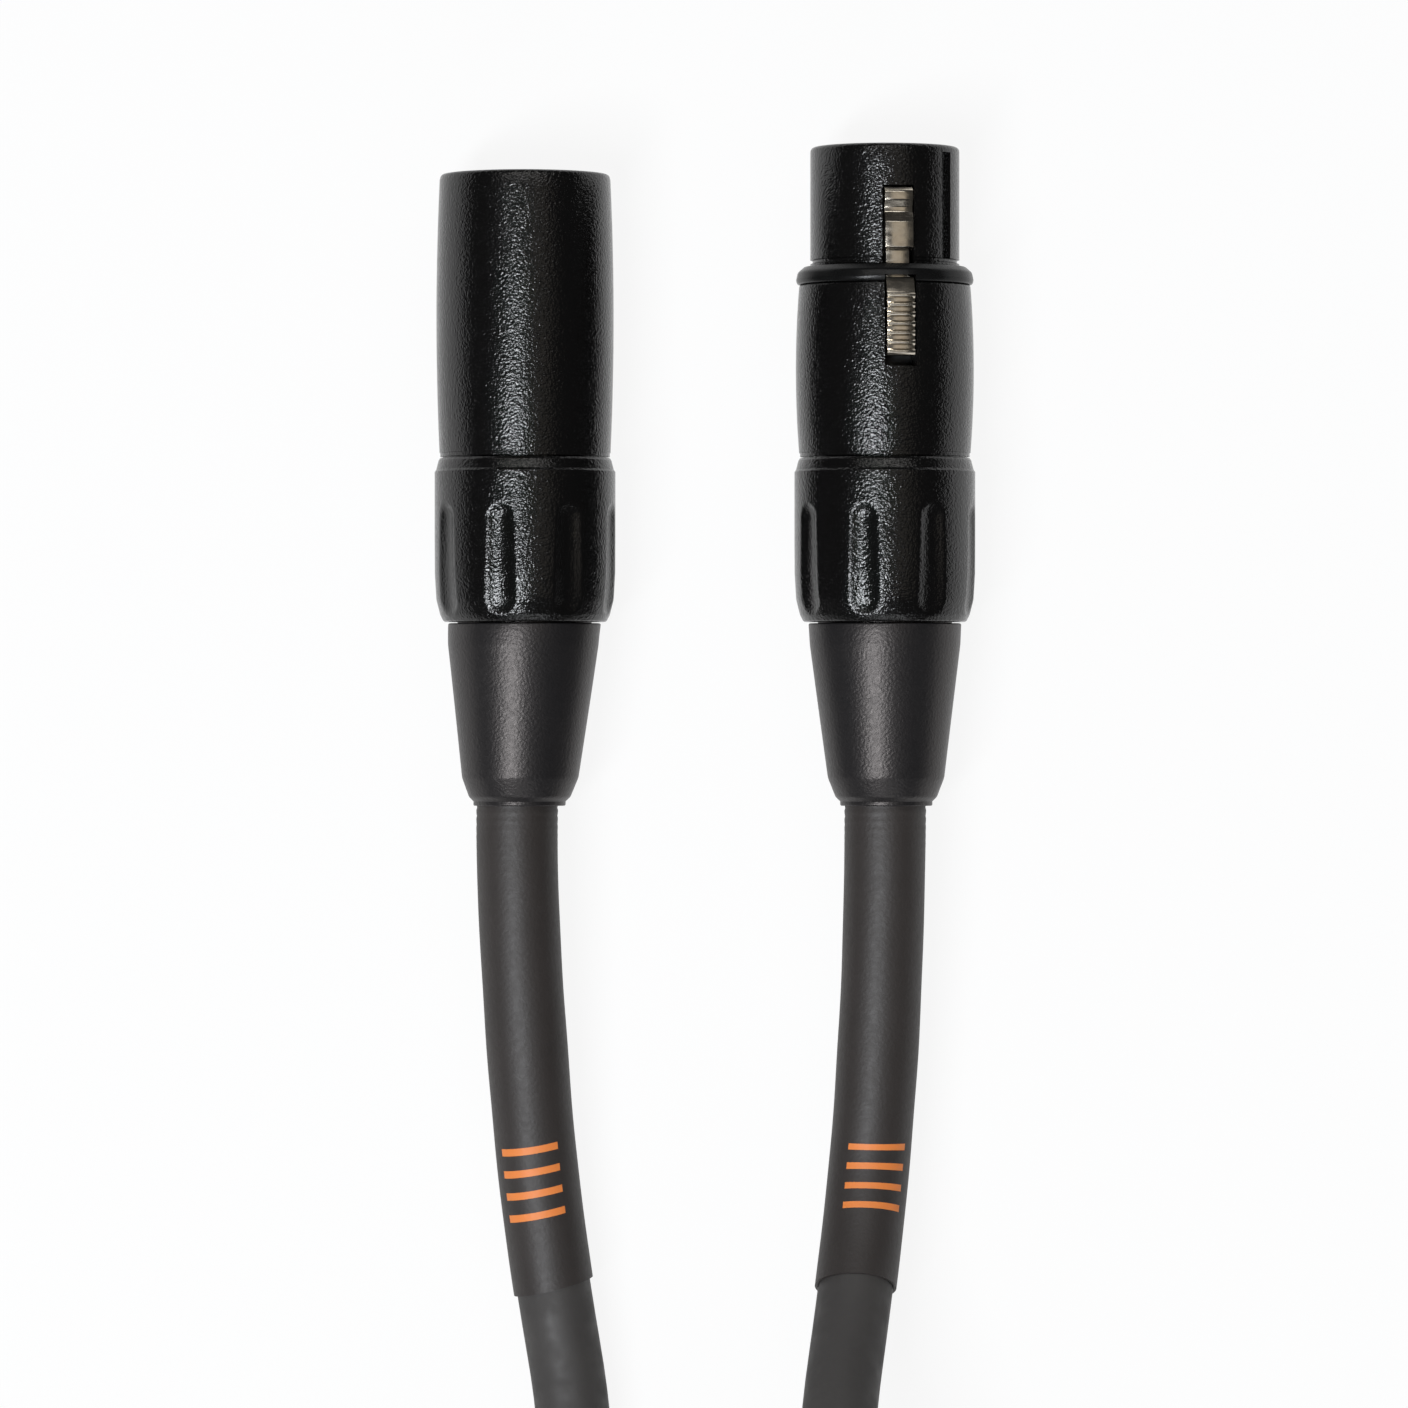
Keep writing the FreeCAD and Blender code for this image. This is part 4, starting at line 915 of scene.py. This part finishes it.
button_outline += [(RIDGES_REAR, 7.6), (11.1, 6.9)]
button = extrude_side("button", button_outline, LATCH_HALF, 0.012)
use_cutter(latch, neck, "UNION")
use_cutter(latch, button, "UNION")
drill_pivot(latch, 0.45, 6)
finish_piece(latch, plug_frame("female", LATCH_ROLL["female"]), 32)
nickel = new_material("nickel", (0.66, 0.60, 0.50), 0.2, 1.0)
vary(nickel, "Roughness", add_noise(nickel, 0.0006, 3, stretch=(0.25, 1, 1)), 0.14, 0.27)
vary(nickel, "Base Color", add_noise(nickel, 0.0007, 4), (0.50, 0.44, 0.36), (0.72, 0.67, 0.58))
add_bump(nickel, add_noise(nickel, 0.00035, 3), 0.000003)
latch.data.materials.append(nickel)
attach(latch, "latch")
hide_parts("female_latch")

# Latch pin and spring, pins and contacts: a turned steel pin, a leaf of spring steel, and turned pins and
# contacts with a pale plating. They keep the CAD solids' meshes and get a finish.


def dress(material, *nodes):
    """Gives a CAD piece a finish."""
    for node in nodes:
        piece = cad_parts[node]
        if not piece.material_slots:
            piece.data.materials.append(material)
        for slot in piece.material_slots:
            slot.material = material


spring_steel = new_material("spring_steel", (0.52, 0.51, 0.50), 0.3, 1.0)
vary(spring_steel, "Roughness", add_noise(spring_steel, 0.0004, 3, stretch=(1, 0.1, 1)), 0.22, 0.40)
add_bump(spring_steel, add_noise(spring_steel, 0.0002, 2, stretch=(1, 0.1, 1)), 0.000006)
dress(spring_steel, "female_latch_pin", "female_latch_spring")
contact_metal = new_material("contact_metal", (0.78, 0.74, 0.66), 0.2, 1.0)
vary(contact_metal, "Roughness", add_noise(contact_metal, 0.0005, 3, stretch=(1, 0.2, 1)), 0.14, 0.28)
vary(contact_metal, "Base Color", add_noise(contact_metal, 0.0016, 3), (0.70, 0.65, 0.56), (0.84, 0.81, 0.75))
dress(contact_metal, *[f"male_pin_{number}" for number in "123"])
dress(contact_metal, *[f"female_contact_{number}" for number in "123"])

# Inserts: black moulded discs that hold the pins and the contacts. Each hole has a small lead-in, and the
# contact numbers 1, 2 and 3 stand beside them.
PIN_CIRCLE = 4.05
PIN_PLACES = {"1": (-PIN_CIRCLE, 0), "2": (PIN_CIRCLE, 0), "3": (0, -PIN_CIRCLE)}
DIGIT_HEIGHT = 1.5
DIGIT_RISE = 0.12
MIRRORED = Matrix.Rotation(math.pi, 4, "Z")
INSERT_COLUMNS = 96


def bore(piece, place, radius, front, rear, lead_in):
    """A round hole from the front face to the rear one, widened at its mouth."""
    outline = [(radius, rear - 1), (radius, front - lead_in), (radius + lead_in * 2, front + lead_in)]
    tool = spin_piece("tool", [(0, rear - 1)] + outline + [(0, front + lead_in)], 40)
    tool.data.transform(Matrix.Translation((place[0], 0, place[1])))
    use_cutter(piece, tool)


def add_digit(piece, digit, x, z, face):
    """A raised number on a face that looks forwards."""
    bpy.ops.object.text_add()
    text = bpy.context.object
    text.data.body = digit
    text.data.size = DIGIT_HEIGHT
    text.data.extrude = DIGIT_RISE
    text.data.align_x = "CENTER"
    text.data.align_y = "CENTER"
    bpy.ops.object.convert(target="MESH")
    number = bpy.context.object
    upright = Matrix.Rotation(math.radians(90), 4, "X")
    number.data.transform(Matrix.Translation((x, face, z)) @ MIRRORED @ upright)
    bpy.ops.object.select_all(action="DESELECT")
    number.select_set(True)
    piece.select_set(True)
    bpy.context.view_layer.objects.active = piece
    bpy.ops.object.join()


insert_plastic = new_material("insert_plastic", (0.02, 0.02, 0.021), 0.5)
vary(insert_plastic, "Roughness", add_noise(insert_plastic, 0.0007, 3), 0.42, 0.58)
add_bump(insert_plastic, add_noise(insert_plastic, 0.0003, 2), 0.000012)
INSERTS = {
    "male": {"radius": 8.1, "front": 17.0, "rear": 5.0, "hole": 1.65, "lead_in": 0.15},
    "female": {"radius": 7.05, "front": 32.4, "rear": 8.0, "hole": 1.75, "lead_in": 0.3},
}
for plug, sizes in INSERTS.items():
    edge = sizes["radius"]
    front, rear = sizes["front"], sizes["rear"]
    disc_outline = rounded([(0, rear), (edge, rear, 0.2), (edge, front, 0.3), (0, front)], 4)
    disc = spin_piece(f"{plug}_insert_disc", disc_outline, INSERT_COLUMNS)
    for digit, place in PIN_PLACES.items():
        bore(disc, place, sizes["hole"], front, rear, sizes["lead_in"])
    if plug == "female":
        cut_box(disc, (-1.95, 9.0, 4.6), (1.95, 29.2, 9))
        drill_pivot(disc, 0.41, 4.95)
    for digit, (x, z) in PIN_PLACES.items():
        add_digit(disc, digit, x * 0.42, 2.3 if z == 0 else -1.2, front)
    finish_piece(disc, plug_frame(plug, LATCH_ROLL[plug]))
    disc.data.materials.append(insert_plastic)
    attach(disc, "root")
    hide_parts(f"{plug}_insert")

# Chucks and wires, hidden in the nuts: an acetal collet grips the jacket, and three wires run from its end
# to the solder cups. They are the bare screen, the white hot wire and the blue cold one.
chuck_plastic = new_material("chuck_plastic", (0.045, 0.045, 0.045), 0.55)
vary(chuck_plastic, "Roughness", add_noise(chuck_plastic, 0.001, 2), 0.48, 0.62)
dress(chuck_plastic, "male_chuck", "female_chuck")
screen_copper = new_material("screen_copper", (0.72, 0.40, 0.25), 0.32, 1.0)
add_bump(screen_copper, add_noise(screen_copper, 0.00015, 1, stretch=(1, 0.2, 1)), 0.00003)
dress(screen_copper, "male_wire_screen", "female_wire_screen")
hot_insulation = new_material("hot_insulation", (0.74, 0.72, 0.67), 0.45)
vary(hot_insulation, "Roughness", add_noise(hot_insulation, 0.001, 2), 0.38, 0.52)
dress(hot_insulation, "male_wire_hot", "female_wire_hot")
cold_insulation = new_material("cold_insulation", (0.045, 0.11, 0.38), 0.45)
vary(cold_insulation, "Roughness", add_noise(cold_insulation, 0.001, 2), 0.38, 0.52)
dress(cold_insulation, "male_wire_cold", "female_wire_cold")
